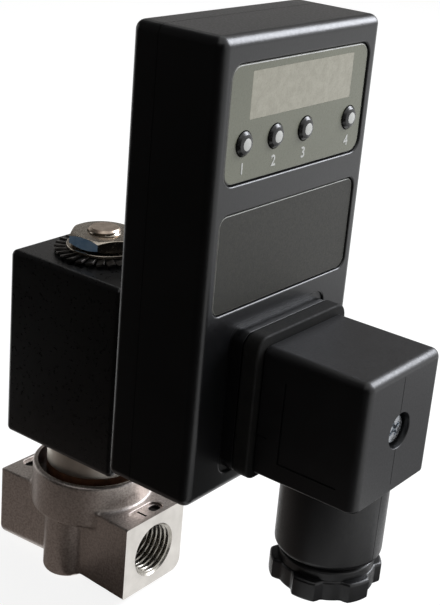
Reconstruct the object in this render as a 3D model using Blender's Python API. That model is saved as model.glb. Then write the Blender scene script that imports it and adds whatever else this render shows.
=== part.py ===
"""Timed condensate drain valve: a cast two-port valve, its solenoid, a plug-on timer and a cable connector.

Units are metres and +Z is up. The inlet faces -Y, the outlet faces +Y, and the origin is the point
where the flow axis meets the upright axis of the armature.
"""

from math import atan2, cos, pi, sin, sqrt

import bmesh
import bpy
from mathutils import Matrix

# Clearances
FIT_GAP = 0.0003
SLIDE_GAP = 0.0002

# Valve body
PORT_SPAN = 0.0420
PORT_WIDTH = 0.0208
PORT_WAIST = 0.0182
PORT_HEIGHT = 0.0189
PORT_EDGE = 0.0006
PORT_ROUND = 0.0030
PORT_BORE_RADIUS = 0.0066
PORT_BORE_DEPTH = 0.0115
PORT_BORE_CHAMFER = 0.0006
PASSAGE_RADIUS = 0.0018
ORIFICE_RADIUS = 0.0013
INLET_HOLE_OFFSET = 0.0060
SLOT_LENGTH = 0.0098
SLOT_WIDTH = 0.0036
SLOT_DEPTH = 0.0006
SLOT_SETBACK = 0.0032
UPPER_BOSS_RADIUS = 0.0144
UPPER_BOSS_TOP = 0.0162
UPPER_BOSS_FOOT = 0.0052
LOWER_BOSS_RADIUS = 0.0116
LOWER_BOSS_TAPER = 0.0007
LOWER_BOSS_FOOT = 0.0112
LOWER_BOSS_EDGE = 0.0018
BOSS_RIM_EDGE = 0.0004
BOSS_BLEND = 0.0030
CHAMBER_RADIUS = 0.0090
CHAMBER_FLOOR = 0.0045
RIM_BORE_RADIUS = 0.0132
RIM_BORE_DEPTH = 0.0034
SEAT_RADIUS = 0.0030
SEAT_HEIGHT = 0.0015

# Guide tube and its bonnet
BONNET_RADIUS = 0.0111
BONNET_HEIGHT = 0.0043
BONNET_EDGE = 0.0006
NECK_RADIUS = 0.0085
NECK_HEIGHT = 0.00615
SPIGOT_LENGTH = 0.0050
SEAL_GROOVE_WIDTH = 0.0022
SEAL_GROOVE_LIP = 0.0010
SEAL_WIRE_RADIUS = 0.0008
TUBE_RADIUS = 0.0065
TUBE_WALL = 0.0007

# Plunger, spring and fixed core
PLUNGER_LENGTH = 0.0394
PLUNGER_TRAVEL = 0.0018
PLUNGER_EDGE = 0.0005
SEAL_DISC_RADIUS = 0.0034
SEAL_DISC_HEIGHT = 0.0020
SEAL_DISC_PROUD = 0.0003
SPRING_RADIUS = 0.0022
SPRING_WIRE_RADIUS = 0.00025
SPRING_POCKET_DEPTH = 0.0120
SPRING_TURNS = 6
CORE_FLANGE_HEIGHT = 0.0022
SHADING_RING_RADIUS = 0.0042
SHADING_RING_WIDTH = 0.0008
SHADING_RING_HEIGHT = 0.0012
STUD_RADIUS = 0.0039
STUD_RISE = 0.0062
STUD_CHAMFER = 0.0007

# Coil
COIL_WIDTH = 0.0300
COIL_FRONT = 0.0187
COIL_BACK = 0.0150
COIL_HEIGHT = 0.0459
COIL_EDGE = 0.0014
COIL_ROOF = 0.0030
COIL_WALL = 0.0024
YOKE_WALL = 0.0010
YOKE_WASHER_HEIGHT = 0.0015
BOBBIN_WALL = 0.0008
BOBBIN_FLANGE = 0.0010
WINDING_COVER = 0.0004
PLATFORM_SIZE = 0.0270
PLATFORM_RISE = 0.0040
PLATFORM_CENTRE = 0.0309
PLATFORM_EDGE = 0.0008

# Lock washer, flat washer and nut on the stud
LOCK_WASHER_RADIUS = 0.0113
LOCK_WASHER_ROOT = 0.0088
LOCK_WASHER_THICKNESS = 0.0006
LOCK_TOOTH_COUNT = 18
LOCK_TOOTH_WIDTH = 0.0020
LOCK_TOOTH_TWIST = 0.28
FLAT_WASHER_RADIUS = 0.0086
FLAT_WASHER_THICKNESS = 0.0006
NUT_ACROSS_FLATS = 0.0146
NUT_HEIGHT = 0.0028
NUT_CHAMFER = 0.0006
NUT_TURN = 0.56

# Plug pattern shared by coil, timer and connector
BLADE_OFFSET = 0.0090
BLADE_WIDTH = 0.0063
BLADE_THICKNESS = 0.0008
BLADE_ROOT = 0.0030
BLADE_REACH = 0.0110
COIL_GASKET_THICKNESS = 0.0015
PLUG_GASKET_THICKNESS = 0.0038
GASKET_LIP = 0.0003
SCREW_RADIUS = 0.0015
SCREW_BITE = 0.0022

# Timer case
TIMER_WIDTH = 0.0538
TIMER_DEPTH = 0.02174
TIMER_FOOT = 0.0209
TIMER_CORNER = 0.0020
TIMER_FRONT_ROUND = 0.0022
TIMER_BACK_ROUND = 0.0018
TIMER_WALL = 0.0020
REAR_COVER_DEPTH = 0.0064
COVER_LIP_WALL = 0.0012
COVER_LIP_HEIGHT = 0.0015
REAR_BOSS_SIZE = 0.0280
REAR_BOSS_RISE = 0.0031
FRONT_BOSS_SIZE = 0.0314
FRONT_BOSS_RISE = 0.0023
BOSS_CORNER = 0.0030
BOSS_EDGE = 0.0008
BOSS_BED_MARGIN = 0.0010
BOSS_BED_DEPTH = 0.0005
SCREW_SLEEVE_WALL = 0.0013
POST_RADIUS = 0.0030
POST_TIP_RADIUS = 0.0020
COVER_SCREW_RADIUS = 0.0011
COVER_SCREW_HEAD = 0.0021
COVER_SCREW_HEAD_HEIGHT = 0.0014
COVER_SCREW_SINK = 0.0004
COVER_SCREW_BITE = 0.0060

# Timer face
BOSS_TO_LABEL = 0.0047
LABEL_HEIGHT = 0.0207
LABEL_TO_PANEL = 0.0056
PANEL_TO_TOP = 0.0052
PANEL_MARGIN = 0.0034
PANEL_CORNER = 0.0030
PANEL_THICKNESS = 0.0005
LABEL_CORNER = 0.0012
LABEL_THICKNESS = 0.0003
FACE_SINK = 0.0003
WINDOW_LEFT = 0.0068
WINDOW_RIGHT = 0.0056
WINDOW_TOP = 0.0018
WINDOW_HEIGHT = 0.0093
WINDOW_TO_BUTTON = 0.0044
BUTTON_TO_PANEL_FOOT = 0.0079
BUTTON_FIRST = 0.0057
BUTTON_PITCH = 0.0102
BUTTON_LAST = 0.0051
BUTTON_RADIUS = 0.0024
BUTTON_RISE = 0.0002
BUTTON_EDGE = 0.0004
BUTTON_TIP_RADIUS = 0.0019
BUTTON_TIP_RISE = 0.0004
BUTTON_FLANGE = 0.0009
BUTTON_FLANGE_HEIGHT = 0.0008
BUTTON_TRAVEL = 0.0006
SWITCH_SIZE = 0.0048
SWITCH_HEIGHT = 0.0034
LAMP_LEFT = 0.0023
LAMP_RADIUS = 0.0013
BOARD_THICKNESS = 0.0016
CONTACT_WALL = 0.0005

# Cable connector
CONNECTOR_WIDTH = 0.0280
CONNECTOR_HEIGHT = 0.0281
CONNECTOR_DEPTH = 0.0247
CONNECTOR_CORNER = 0.0020
CONNECTOR_ROUND = 0.0020
CONNECTOR_FOOT_EDGE = 0.0005
CONNECTOR_WALL = 0.0017
SCREW_WELL_RADIUS = 0.0039
SCREW_WELL_DEPTH = 0.0046
SCREW_WELL_WALL = 0.0016
SCREW_WELL_FLOOR = 0.0020
SCREW_HEAD_RADIUS = 0.0033
SCREW_HEAD_HEIGHT = 0.0020
SCREW_SEAL_HEIGHT = 0.0008
GROOVE_SETBACK = 0.0056
GROOVE_FRONT = 0.0048
GROOVE_HEAD = 0.0060
GROOVE_FOOT = 0.0040
GROOVE_WIDTH = 0.0005
GROOVE_DEPTH = 0.0004
INSERT_DEPTH = 0.0113
INSERT_FOOT = 0.0096

# Cable gland
GLAND_SETBACK = 0.0117
SLEEVE_RADIUS = 0.0115
SLEEVE_LENGTH = 0.0178
SLEEVE_EDGE = 0.0014
GLAND_BORE_RADIUS = 0.0096
CABLE_BORE_RADIUS = 0.0046
GROMMET_LENGTH = 0.0043
GLAND_BORE_DEPTH = 0.0098
GLAND_WASHER_THICKNESS = 0.0008
GLAND_NUT_RADIUS = 0.0120
GLAND_NUT_HEIGHT = 0.0048
GLAND_NUT_SHOW = 0.0004
GLAND_COLLAR_RADIUS = 0.0103
GLAND_COLLAR_HEIGHT = 0.0024
GLAND_LOBES = 6
GLAND_LOBE_TURN = 0.19
LOBE_CREST = 0.70
LOBE_FLOOR = 0.25
GLAND_NOTCH_DEPTH = 0.0013
GLAND_NUT_EDGE = 0.0007

# Smoothness of round forms
ROUND_STEPS = 32
SMALL_ROUND_STEPS = 16
CORNER_STEPS = 3
OVERSHOOT = 0.0010

# Finishes: colour, roughness, metallic
CAST_STEEL = ((0.42, 0.39, 0.36), 0.42, 1.0)
TURNED_STEEL = ((0.55, 0.53, 0.50), 0.30, 1.0)
PLATED_STEEL = ((0.50, 0.47, 0.42), 0.28, 1.0)
YOKE_STEEL = ((0.35, 0.35, 0.36), 0.50, 1.0)
COPPER = ((0.60, 0.27, 0.14), 0.35, 1.0)
BRASS = ((0.66, 0.50, 0.24), 0.30, 1.0)
BLACK_EPOXY = ((0.010, 0.010, 0.011), 0.35, 0.0)
BLACK_ABS = ((0.022, 0.023, 0.025), 0.45, 0.0)
BLACK_NYLON = ((0.016, 0.016, 0.018), 0.50, 0.0)
BLACK_RUBBER = ((0.020, 0.020, 0.020), 0.75, 0.0)
SMOKED_FILM = ((0.16, 0.17, 0.15), 0.30, 0.0)
LABEL_FILM = ((0.045, 0.048, 0.045), 0.60, 0.0)
PALE_DISPLAY = ((0.42, 0.43, 0.40), 0.40, 0.0)
RED_LENS = ((0.35, 0.02, 0.02), 0.25, 0.0)
GREEN_BOARD = ((0.02, 0.13, 0.05), 0.55, 0.0)
DARK_BUTTON = ((0.050, 0.050, 0.050), 0.40, 0.0)


# Scene helpers


def clear_scene():
    for old in list(bpy.data.objects):
        bpy.data.objects.remove(old, do_unlink=True)


def finish_material(name, finish):
    colour, roughness, metallic = finish
    material = bpy.data.materials.new(name + "_finish")
    material.use_nodes = True
    shader = material.node_tree.nodes["Principled BSDF"]
    shader.inputs["Base Color"].default_value = (*colour, 1.0)
    shader.inputs["Roughness"].default_value = roughness
    shader.inputs["Metallic"].default_value = metallic
    return material


def frame_empty(name, at, turn=(0, 0, 0)):
    empty = bpy.data.objects.new(name, None)
    empty.location = at
    empty.rotation_euler = turn
    bpy.context.scene.collection.objects.link(empty)
    return empty


def place(name, data, parent, at, turn):
    piece = bpy.data.objects.new(name, data)
    piece.parent = parent
    piece.location = at
    piece.rotation_euler = turn
    bpy.context.scene.collection.objects.link(piece)
    return piece


def to_mesh(name, bm):
    bmesh.ops.recalc_face_normals(bm, faces=bm.faces)
    mesh = bpy.data.meshes.new(name)
    bm.to_mesh(mesh)
    bm.free()
    mesh.shade_smooth()
    mesh.set_sharp_from_angle(angle=0.6)
    return mesh


def solid(name, bm, finish, parent, at=(0, 0, 0), turn=(0, 0, 0)):
    mesh = to_mesh(name, bm)
    mesh.materials.append(finish_material(name, finish))
    return place(name, mesh, parent, at, turn)


def tool(target, operation, bm, parent, at=(0, 0, 0), turn=(0, 0, 0)):
    """Join, cut or trim a piece with a hidden tool body."""
    name = f"{target.name}_tool_{len(target.modifiers)}"
    shape = place(name, to_mesh(name, bm), parent, at, turn)
    shape.hide_render = True
    shape.display_type = "WIRE"
    boolean = target.modifiers.new(name, "BOOLEAN")
    boolean.operation = operation
    boolean.solver = "EXACT"
    boolean.object = shape


def join(target, bm, parent, at=(0, 0, 0), turn=(0, 0, 0)):
    tool(target, "UNION", bm, parent, at, turn)


def cut(target, bm, parent, at=(0, 0, 0), turn=(0, 0, 0)):
    tool(target, "DIFFERENCE", bm, parent, at, turn)


# Shape helpers


def rounded_outline(width, height, corners):
    """A rectangle with four corner radii, from the lower right and counter-clockwise."""
    sides = ((1, -1), (1, 1), (-1, 1), (-1, -1))
    points = []
    for quarter, ((side_x, side_y), radius) in enumerate(zip(sides, corners)):
        centre_x = side_x * (width / 2 - radius)
        centre_y = side_y * (height / 2 - radius)
        for step in range(CORNER_STEPS + 1):
            angle = (quarter - 1 + step / CORNER_STEPS) * pi / 2
            points.append((centre_x + radius * cos(angle), centre_y + radius * sin(angle)))
    return points


def loft(rings):
    """One closed body through a stack of rings, each a list of (x, y) points and a height."""
    bm = bmesh.new()
    loops = [[bm.verts.new((x, y, z)) for x, y in points] for points, z in rings]
    for low, high in zip(loops, loops[1:]):
        for i, vert in enumerate(low):
            j = (i + 1) % len(low)
            bm.faces.new((vert, low[j], high[j], high[i]))
    bm.faces.new(list(reversed(loops[0])))
    bm.faces.new(loops[-1])
    return bm


def edge_steps(radius):
    """Insets and rises along a rounded edge, from its flat face to its side."""
    if not radius:
        return [(0.0, 0.0)]
    angles = [step / CORNER_STEPS * pi / 2 for step in range(CORNER_STEPS + 1)]
    return [(radius * (1 - sin(angle)), radius * (1 - cos(angle))) for angle in angles]


def soft_block(width, height, start, end, corner, start_round=0.0, end_round=0.0):
    """A rounded-rectangle prism along z whose two end edges may be rounded too."""
    least_corner = corner / 5

    def ring(inset, z):
        radius = max(corner - inset, least_corner)
        return rounded_outline(width - 2 * inset, height - 2 * inset, (radius,) * 4), z

    first = [ring(inset, start + rise) for inset, rise in edge_steps(start_round)]
    last = [ring(inset, end - rise) for inset, rise in edge_steps(end_round)]
    return loft(first + last[::-1])


def turned(profile, steps):
    """Turn an outline of (radius, height) points about the z axis.

    An outline that starts and ends on the axis stays open there; any other outline is closed.
    """
    bm = bmesh.new()
    verts = [bm.verts.new((radius, 0, height)) for radius, height in profile]
    edges = [bm.edges.new(pair) for pair in zip(verts, verts[1:])]
    if profile[0][0] > 0:
        edges.append(bm.edges.new((verts[-1], verts[0])))
    bmesh.ops.spin(
        bm, geom=verts + edges, cent=(0, 0, 0), axis=(0, 0, 1), angle=2 * pi, steps=steps, use_merge=True
    )
    bmesh.ops.remove_doubles(bm, verts=bm.verts, dist=1e-7)
    return bm


def rod(radius, start, end, steps=SMALL_ROUND_STEPS):
    return turned([(0, start), (radius, start), (radius, end), (0, end)], steps)


def sleeve(inner, outer, start, end, steps=SMALL_ROUND_STEPS):
    return turned([(inner, start), (outer, start), (outer, end), (inner, end)], steps)


def boxes(places):
    """Separate plain boxes in one body list, each given by its centre and its size."""
    bm = bmesh.new()
    for centre, size in places:
        matrix = Matrix.Translation(centre) @ Matrix.Diagonal((*size, 1))
        bmesh.ops.create_cube(bm, size=1.0, matrix=matrix)
    return bm


def merged(parts):
    """Put several separate bodies into one mesh."""
    bm = bmesh.new()
    for part in parts:
        scratch = bpy.data.meshes.new("scratch")
        part.to_mesh(scratch)
        part.free()
        bm.from_mesh(scratch)
        bpy.data.meshes.remove(scratch)
    return bm


def shifted(bm, offset):
    bmesh.ops.translate(bm, verts=bm.verts, vec=offset)
    return bm


def blade_places(start, end, gap=0.0):
    """Centres and sizes of the plug's two line blades and its earth blade, grown by a gap."""
    wide = BLADE_WIDTH + 2 * gap
    thin = BLADE_THICKNESS + 2 * gap
    middle = (start + end) / 2
    length = end - start
    return {
        "left": ((-BLADE_OFFSET, 0, middle), (thin, wide, length)),
        "right": ((BLADE_OFFSET, 0, middle), (thin, wide, length)),
        "earth": ((0, BLADE_OFFSET, middle), (wide, thin, length)),
    }


def blade_slots(start, end):
    """The three slots that clear the blades."""
    return boxes(blade_places(start, end, FIT_GAP).values())


def make_blades(name, start, end, plug_frame):
    for key, (centre, size) in blade_places(start, end).items():
        solid(f"{name}_{key}", boxes([((0, 0, 0), size)]), PLATED_STEEL, plug_frame, at=centre)


# Levels up the armature axis

SEAT_TOP = CHAMBER_FLOOR + SEAT_HEIGHT
BONNET_FOOT = UPPER_BOSS_TOP - RIM_BORE_DEPTH + FIT_GAP
BONNET_TOP = BONNET_FOOT + BONNET_HEIGHT
NECK_TOP = BONNET_TOP + NECK_HEIGHT
COIL_FOOT = NECK_TOP + FIT_GAP
COIL_TOP = COIL_FOOT + COIL_HEIGHT
ROOF_UNDER = COIL_TOP - COIL_ROOF
CORE_FLANGE_TOP = ROOF_UNDER - FIT_GAP
CORE_FLANGE_FOOT = CORE_FLANGE_TOP - CORE_FLANGE_HEIGHT
TUBE_TOP = CORE_FLANGE_FOOT - FIT_GAP
SEAL_DISC_FOOT = SEAT_TOP + FIT_GAP
PLUNGER_FOOT = SEAL_DISC_FOOT + SEAL_DISC_PROUD
PLUNGER_TOP = PLUNGER_FOOT + PLUNGER_LENGTH
CORE_FOOT = PLUNGER_TOP + PLUNGER_TRAVEL + FIT_GAP
STUD_TOP = COIL_TOP + STUD_RISE
TUBE_BORE_RADIUS = TUBE_RADIUS - TUBE_WALL
PLUNGER_RADIUS = TUBE_BORE_RADIUS - SLIDE_GAP

# Levels out from the front of the coil

RISE_PLATFORM = PLATFORM_RISE
RISE_COIL_GASKET = RISE_PLATFORM + FIT_GAP
RISE_REAR_BOSS = RISE_COIL_GASKET + COIL_GASKET_THICKNESS + FIT_GAP
RISE_TIMER_BACK = RISE_REAR_BOSS + REAR_BOSS_RISE
RISE_SEAM = RISE_TIMER_BACK + REAR_COVER_DEPTH
RISE_TIMER_FRONT = RISE_TIMER_BACK + TIMER_DEPTH
RISE_FRONT_INNER = RISE_TIMER_FRONT - TIMER_WALL
RISE_BACK_INNER = RISE_TIMER_BACK + TIMER_WALL
RISE_FRONT_BOSS = RISE_TIMER_FRONT + FRONT_BOSS_RISE
RISE_PLUG_GASKET = RISE_FRONT_BOSS + FIT_GAP
RISE_CONNECTOR = RISE_PLUG_GASKET + PLUG_GASKET_THICKNESS + FIT_GAP
RISE_CONNECTOR_FRONT = RISE_CONNECTOR + CONNECTOR_DEPTH
RISE_BUTTON_FLANGE = RISE_FRONT_INNER - FIT_GAP - BUTTON_FLANGE_HEIGHT
RISE_SWITCH_TOP = RISE_BUTTON_FLANGE - BUTTON_TRAVEL - FIT_GAP
RISE_BOARD_FRONT = RISE_SWITCH_TOP - SWITCH_HEIGHT - FIT_GAP
RISE_BOARD_BACK = RISE_BOARD_FRONT - BOARD_THICKNESS
SCREW_AXIS_HEIGHT = COIL_FOOT + PLATFORM_CENTRE

# Depth of the gland's shoulder below the connector's foot

GLAND_SHOULDER = SLEEVE_LENGTH - GLAND_BORE_DEPTH

# Layout of the timer's face, up and across from the screw axis

FACE_FOOT = -TIMER_FOOT
LABEL_FOOT = FRONT_BOSS_SIZE / 2 + BOSS_TO_LABEL
LABEL_TOP = LABEL_FOOT + LABEL_HEIGHT
PANEL_FOOT = LABEL_TOP + LABEL_TO_PANEL
BUTTON_ROW = PANEL_FOOT + BUTTON_TO_PANEL_FOOT
WINDOW_FOOT = BUTTON_ROW + WINDOW_TO_BUTTON
WINDOW_HEAD = WINDOW_FOOT + WINDOW_HEIGHT
PANEL_HEAD = WINDOW_HEAD + WINDOW_TOP
FACE_HEAD = PANEL_HEAD + PANEL_TO_TOP
FACE_HEIGHT = FACE_HEAD - FACE_FOOT
FACE_MIDDLE = (FACE_HEAD + FACE_FOOT) / 2
PANEL_WIDTH = TIMER_WIDTH - 2 * PANEL_MARGIN
PANEL_SIDE = PANEL_WIDTH / 2
WINDOW_WIDTH = PANEL_WIDTH - WINDOW_LEFT - WINDOW_RIGHT
WINDOW_MIDDLE = ((WINDOW_LEFT - WINDOW_RIGHT) / 2, (WINDOW_FOOT + WINDOW_HEAD) / 2)
LAMP_PLACE = (LAMP_LEFT - PANEL_SIDE, WINDOW_MIDDLE[1])
BUTTON_PLACES = {
    "mode_button": BUTTON_FIRST - PANEL_SIDE,
    "add_button": BUTTON_FIRST + BUTTON_PITCH - PANEL_SIDE,
    "enter_button": BUTTON_FIRST + 2 * BUTTON_PITCH - PANEL_SIDE,
    "reset_button": PANEL_SIDE - BUTTON_LAST,
}
POST_INSET = TIMER_WALL + FIT_GAP + COVER_LIP_WALL + FIT_GAP + POST_TIP_RADIUS
POST_PLACES = [
    (side * (TIMER_WIDTH / 2 - POST_INSET), height)
    for side in (-1, 1)
    for height in (FACE_FOOT + POST_INSET, FACE_HEAD - POST_INSET)
]


# Valve


def arm_width(reach):
    """Width of the port arms at a reach from the armature axis: they are drafted in towards the bosses."""
    return PORT_WAIST + (PORT_WIDTH - PORT_WAIST) * reach / (PORT_SPAN / 2)


def arm_outline(reach):
    """Cross-section of one port arm, with one lower edge rounded as on the casting."""
    return rounded_outline(arm_width(reach), PORT_HEIGHT, (PORT_ROUND, PORT_EDGE, PORT_EDGE, PORT_EDGE))


def blend_outline(boss_radius):
    """Plan of the hollow-cornered web between a round boss and the flat sides of the arms."""
    reach = boss_radius
    for _ in range(4):
        side = arm_width(reach) / 2
        reach = sqrt((boss_radius + BOSS_BLEND) ** 2 - (side + BOSS_BLEND) ** 2)
    tangent = atan2(reach, side + BOSS_BLEND)
    corner = []
    for step in range(CORNER_STEPS + 1):
        angle = pi + step / CORNER_STEPS * tangent
        corner.append((side + BOSS_BLEND * (1 + cos(angle)), reach + BOSS_BLEND * sin(angle)))
    right_lower = [(x, -y) for x, y in corner]
    left_upper = [(-x, y) for x, y in corner]
    left_lower = [(-x, -y) for x, y in corner]
    return corner[::-1] + left_upper + left_lower[::-1] + right_lower


def make_valve_body(axis):
    half_span = PORT_SPAN / 2
    half_height = PORT_HEIGHT / 2
    front_turn = (pi / 2, 0, 0)
    rear_turn = (pi / 2, 0, pi)
    arm = [(arm_outline(reach), reach) for reach in (-PASSAGE_RADIUS, half_span)]
    body = solid("valve_body", loft(arm), CAST_STEEL, axis, turn=front_turn)
    join(body, loft(arm), axis, turn=rear_turn)

    upper = [
        (0, UPPER_BOSS_FOOT),
        (UPPER_BOSS_RADIUS, UPPER_BOSS_FOOT),
        (UPPER_BOSS_RADIUS, UPPER_BOSS_TOP - BOSS_RIM_EDGE),
        (UPPER_BOSS_RADIUS - BOSS_RIM_EDGE, UPPER_BOSS_TOP),
        (0, UPPER_BOSS_TOP),
    ]
    join(body, turned(upper, ROUND_STEPS), axis)
    upper_web = blend_outline(UPPER_BOSS_RADIUS)
    join(body, loft([(upper_web, UPPER_BOSS_FOOT), (upper_web, half_height)]), axis)

    foot_radius = LOWER_BOSS_RADIUS - LOWER_BOSS_TAPER
    foot_edge = [
        (foot_radius - inset, rise - LOWER_BOSS_FOOT) for inset, rise in edge_steps(LOWER_BOSS_EDGE)
    ]
    lower_top = UPPER_BOSS_FOOT + OVERSHOOT
    lower = [(0, -LOWER_BOSS_FOOT)] + foot_edge + [(LOWER_BOSS_RADIUS, lower_top), (0, lower_top)]
    join(body, turned(lower, ROUND_STEPS), axis)
    web_foot = PORT_ROUND - half_height
    web_share = (lower_top - web_foot) / (lower_top + LOWER_BOSS_FOOT - LOWER_BOSS_EDGE)
    lower_web = [
        (blend_outline(LOWER_BOSS_RADIUS - LOWER_BOSS_TAPER * web_share), web_foot),
        (blend_outline(LOWER_BOSS_RADIUS), lower_top),
    ]
    join(body, loft(lower_web), axis)

    cut_valve_chamber(body, axis)
    for turn in (front_turn, rear_turn):
        cut_port(body, axis, turn)
    cut_flow_path(body, axis)


def cut_valve_chamber(body, axis):
    """The bonnet's rim bore and thread bore, with the raised seat left standing in the floor."""
    rim_floor = UPPER_BOSS_TOP - RIM_BORE_DEPTH
    above = UPPER_BOSS_TOP + OVERSHOOT
    profile = [
        (0, SEAT_TOP),
        (SEAT_RADIUS / 2, SEAT_TOP),
        (SEAT_RADIUS, CHAMBER_FLOOR),
        (CHAMBER_RADIUS, CHAMBER_FLOOR),
        (CHAMBER_RADIUS, rim_floor),
        (RIM_BORE_RADIUS, rim_floor),
        (RIM_BORE_RADIUS, above),
        (0, above),
    ]
    cut(body, turned(profile, ROUND_STEPS), axis)


def cut_port(body, axis, turn):
    """A chamfered port bore with a drill point, and the bare marking slot on top of its arm."""
    face = PORT_SPAN / 2
    floor = face - PORT_BORE_DEPTH
    mouth = PORT_BORE_RADIUS + PORT_BORE_CHAMFER
    profile = [
        (0, floor - PASSAGE_RADIUS / 2),
        (PASSAGE_RADIUS, floor - PASSAGE_RADIUS / 2),
        (PORT_BORE_RADIUS, floor),
        (PORT_BORE_RADIUS, face - PORT_BORE_CHAMFER),
        (mouth, face),
        (mouth, face + OVERSHOOT),
        (0, face + OVERSHOOT),
    ]
    cut(body, turned(profile, ROUND_STEPS), axis, turn=turn)
    slot_outline = rounded_outline(SLOT_LENGTH, SLOT_WIDTH, (SLOT_WIDTH / 2.2,) * 4)
    along = [(x, y + SLOT_SETBACK - face) for x, y in slot_outline]
    top = PORT_HEIGHT / 2
    slot = loft([(along, top - SLOT_DEPTH), (along, top + OVERSHOOT)])
    cut(body, slot, axis, turn=(0, 0, turn[2]))


def cut_flow_path(body, axis):
    """Inlet up into the chamber beside the seat, and from the seat's orifice out to the outlet."""
    port_floor = PORT_SPAN / 2 - PORT_BORE_DEPTH
    inlet_run = rod(PASSAGE_RADIUS, INLET_HOLE_OFFSET, port_floor + OVERSHOOT)
    cut(body, inlet_run, axis, turn=(pi / 2, 0, 0))
    inlet_rise = rod(PASSAGE_RADIUS, -PASSAGE_RADIUS, CHAMBER_FLOOR + OVERSHOOT)
    cut(body, inlet_rise, axis, at=(0, -INLET_HOLE_OFFSET, 0))
    outlet_run = rod(PASSAGE_RADIUS, -PASSAGE_RADIUS, port_floor + OVERSHOOT)
    cut(body, outlet_run, axis, turn=(pi / 2, 0, pi))
    orifice = rod(ORIFICE_RADIUS, 0, SEAT_TOP + OVERSHOOT)
    cut(body, orifice, axis)


# Armature


def make_guide_tube(axis):
    spigot_radius = CHAMBER_RADIUS - FIT_GAP
    spigot_foot = BONNET_FOOT - SPIGOT_LENGTH
    groove_foot = spigot_foot + SEAL_GROOVE_LIP
    groove_top = groove_foot + SEAL_GROOVE_WIDTH
    groove_radius = spigot_radius - 2 * SEAL_WIRE_RADIUS
    profile = [
        (TUBE_BORE_RADIUS, spigot_foot),
        (spigot_radius, spigot_foot),
        (spigot_radius, groove_foot),
        (groove_radius, groove_foot),
        (groove_radius, groove_top),
        (spigot_radius, groove_top),
        (spigot_radius, BONNET_FOOT),
        (BONNET_RADIUS, BONNET_FOOT),
        (BONNET_RADIUS, BONNET_TOP - BONNET_EDGE),
        (BONNET_RADIUS - BONNET_EDGE, BONNET_TOP),
        (NECK_RADIUS, BONNET_TOP),
        (NECK_RADIUS, NECK_TOP),
        (TUBE_RADIUS, NECK_TOP),
        (TUBE_RADIUS, TUBE_TOP),
        (TUBE_BORE_RADIUS, TUBE_TOP),
    ]
    solid("guide_tube", turned(profile, ROUND_STEPS), TURNED_STEEL, axis)

    wire = SEAL_WIRE_RADIUS - FIT_GAP / 2
    middle_height = (groove_foot + groove_top) / 2
    middle_radius = (groove_radius + CHAMBER_RADIUS) / 2
    sides = 8
    ring = [
        (middle_radius + wire * cos(2 * pi * k / sides), middle_height + wire * sin(2 * pi * k / sides))
        for k in range(sides)
    ]
    solid("bonnet_seal", turned(ring, SMALL_ROUND_STEPS), BLACK_RUBBER, axis)


def make_plunger(plunger_axis):
    """The sliding armature, with its seal disc below and its spring in the pocket on top."""
    pocket_radius = SPRING_RADIUS + SPRING_WIRE_RADIUS + SLIDE_GAP
    pocket_floor = PLUNGER_LENGTH - SPRING_POCKET_DEPTH
    recess_radius = SEAL_DISC_RADIUS + FIT_GAP
    recess_top = SEAL_DISC_HEIGHT - SEAL_DISC_PROUD + FIT_GAP
    profile = [
        (0, recess_top),
        (recess_radius, recess_top),
        (recess_radius, 0),
        (PLUNGER_RADIUS - PLUNGER_EDGE, 0),
        (PLUNGER_RADIUS, PLUNGER_EDGE),
        (PLUNGER_RADIUS, PLUNGER_LENGTH - PLUNGER_EDGE),
        (PLUNGER_RADIUS - PLUNGER_EDGE, PLUNGER_LENGTH),
        (pocket_radius, PLUNGER_LENGTH),
        (pocket_radius, pocket_floor),
        (0, pocket_floor),
    ]
    solid("plunger", turned(profile, SMALL_ROUND_STEPS), TURNED_STEEL, plunger_axis)
    disc = rod(SEAL_DISC_RADIUS, -SEAL_DISC_PROUD, SEAL_DISC_HEIGHT - SEAL_DISC_PROUD)
    solid("plunger_seal", disc, BLACK_RUBBER, plunger_axis)

    spring_foot = pocket_floor + FIT_GAP + SPRING_WIRE_RADIUS
    spring_head = PLUNGER_LENGTH + PLUNGER_TRAVEL - SPRING_WIRE_RADIUS
    points_per_turn = 8
    count = SPRING_TURNS * points_per_turn
    curve = bpy.data.curves.new("plunger_spring", "CURVE")
    curve.dimensions = "3D"
    curve.bevel_depth = SPRING_WIRE_RADIUS
    curve.bevel_resolution = 0
    curve.use_fill_caps = True
    spline = curve.splines.new("POLY")
    spline.points.add(count)
    for k, point in enumerate(spline.points):
        angle = 2 * pi * k / points_per_turn
        height = spring_foot + (spring_head - spring_foot) * k / count
        point.co = (SPRING_RADIUS * cos(angle), SPRING_RADIUS * sin(angle), height, 1)
    curve.materials.append(finish_material("plunger_spring", PLATED_STEEL))
    place("plunger_spring", curve, plunger_axis, (0, 0, 0), (0, 0, 0))


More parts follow.
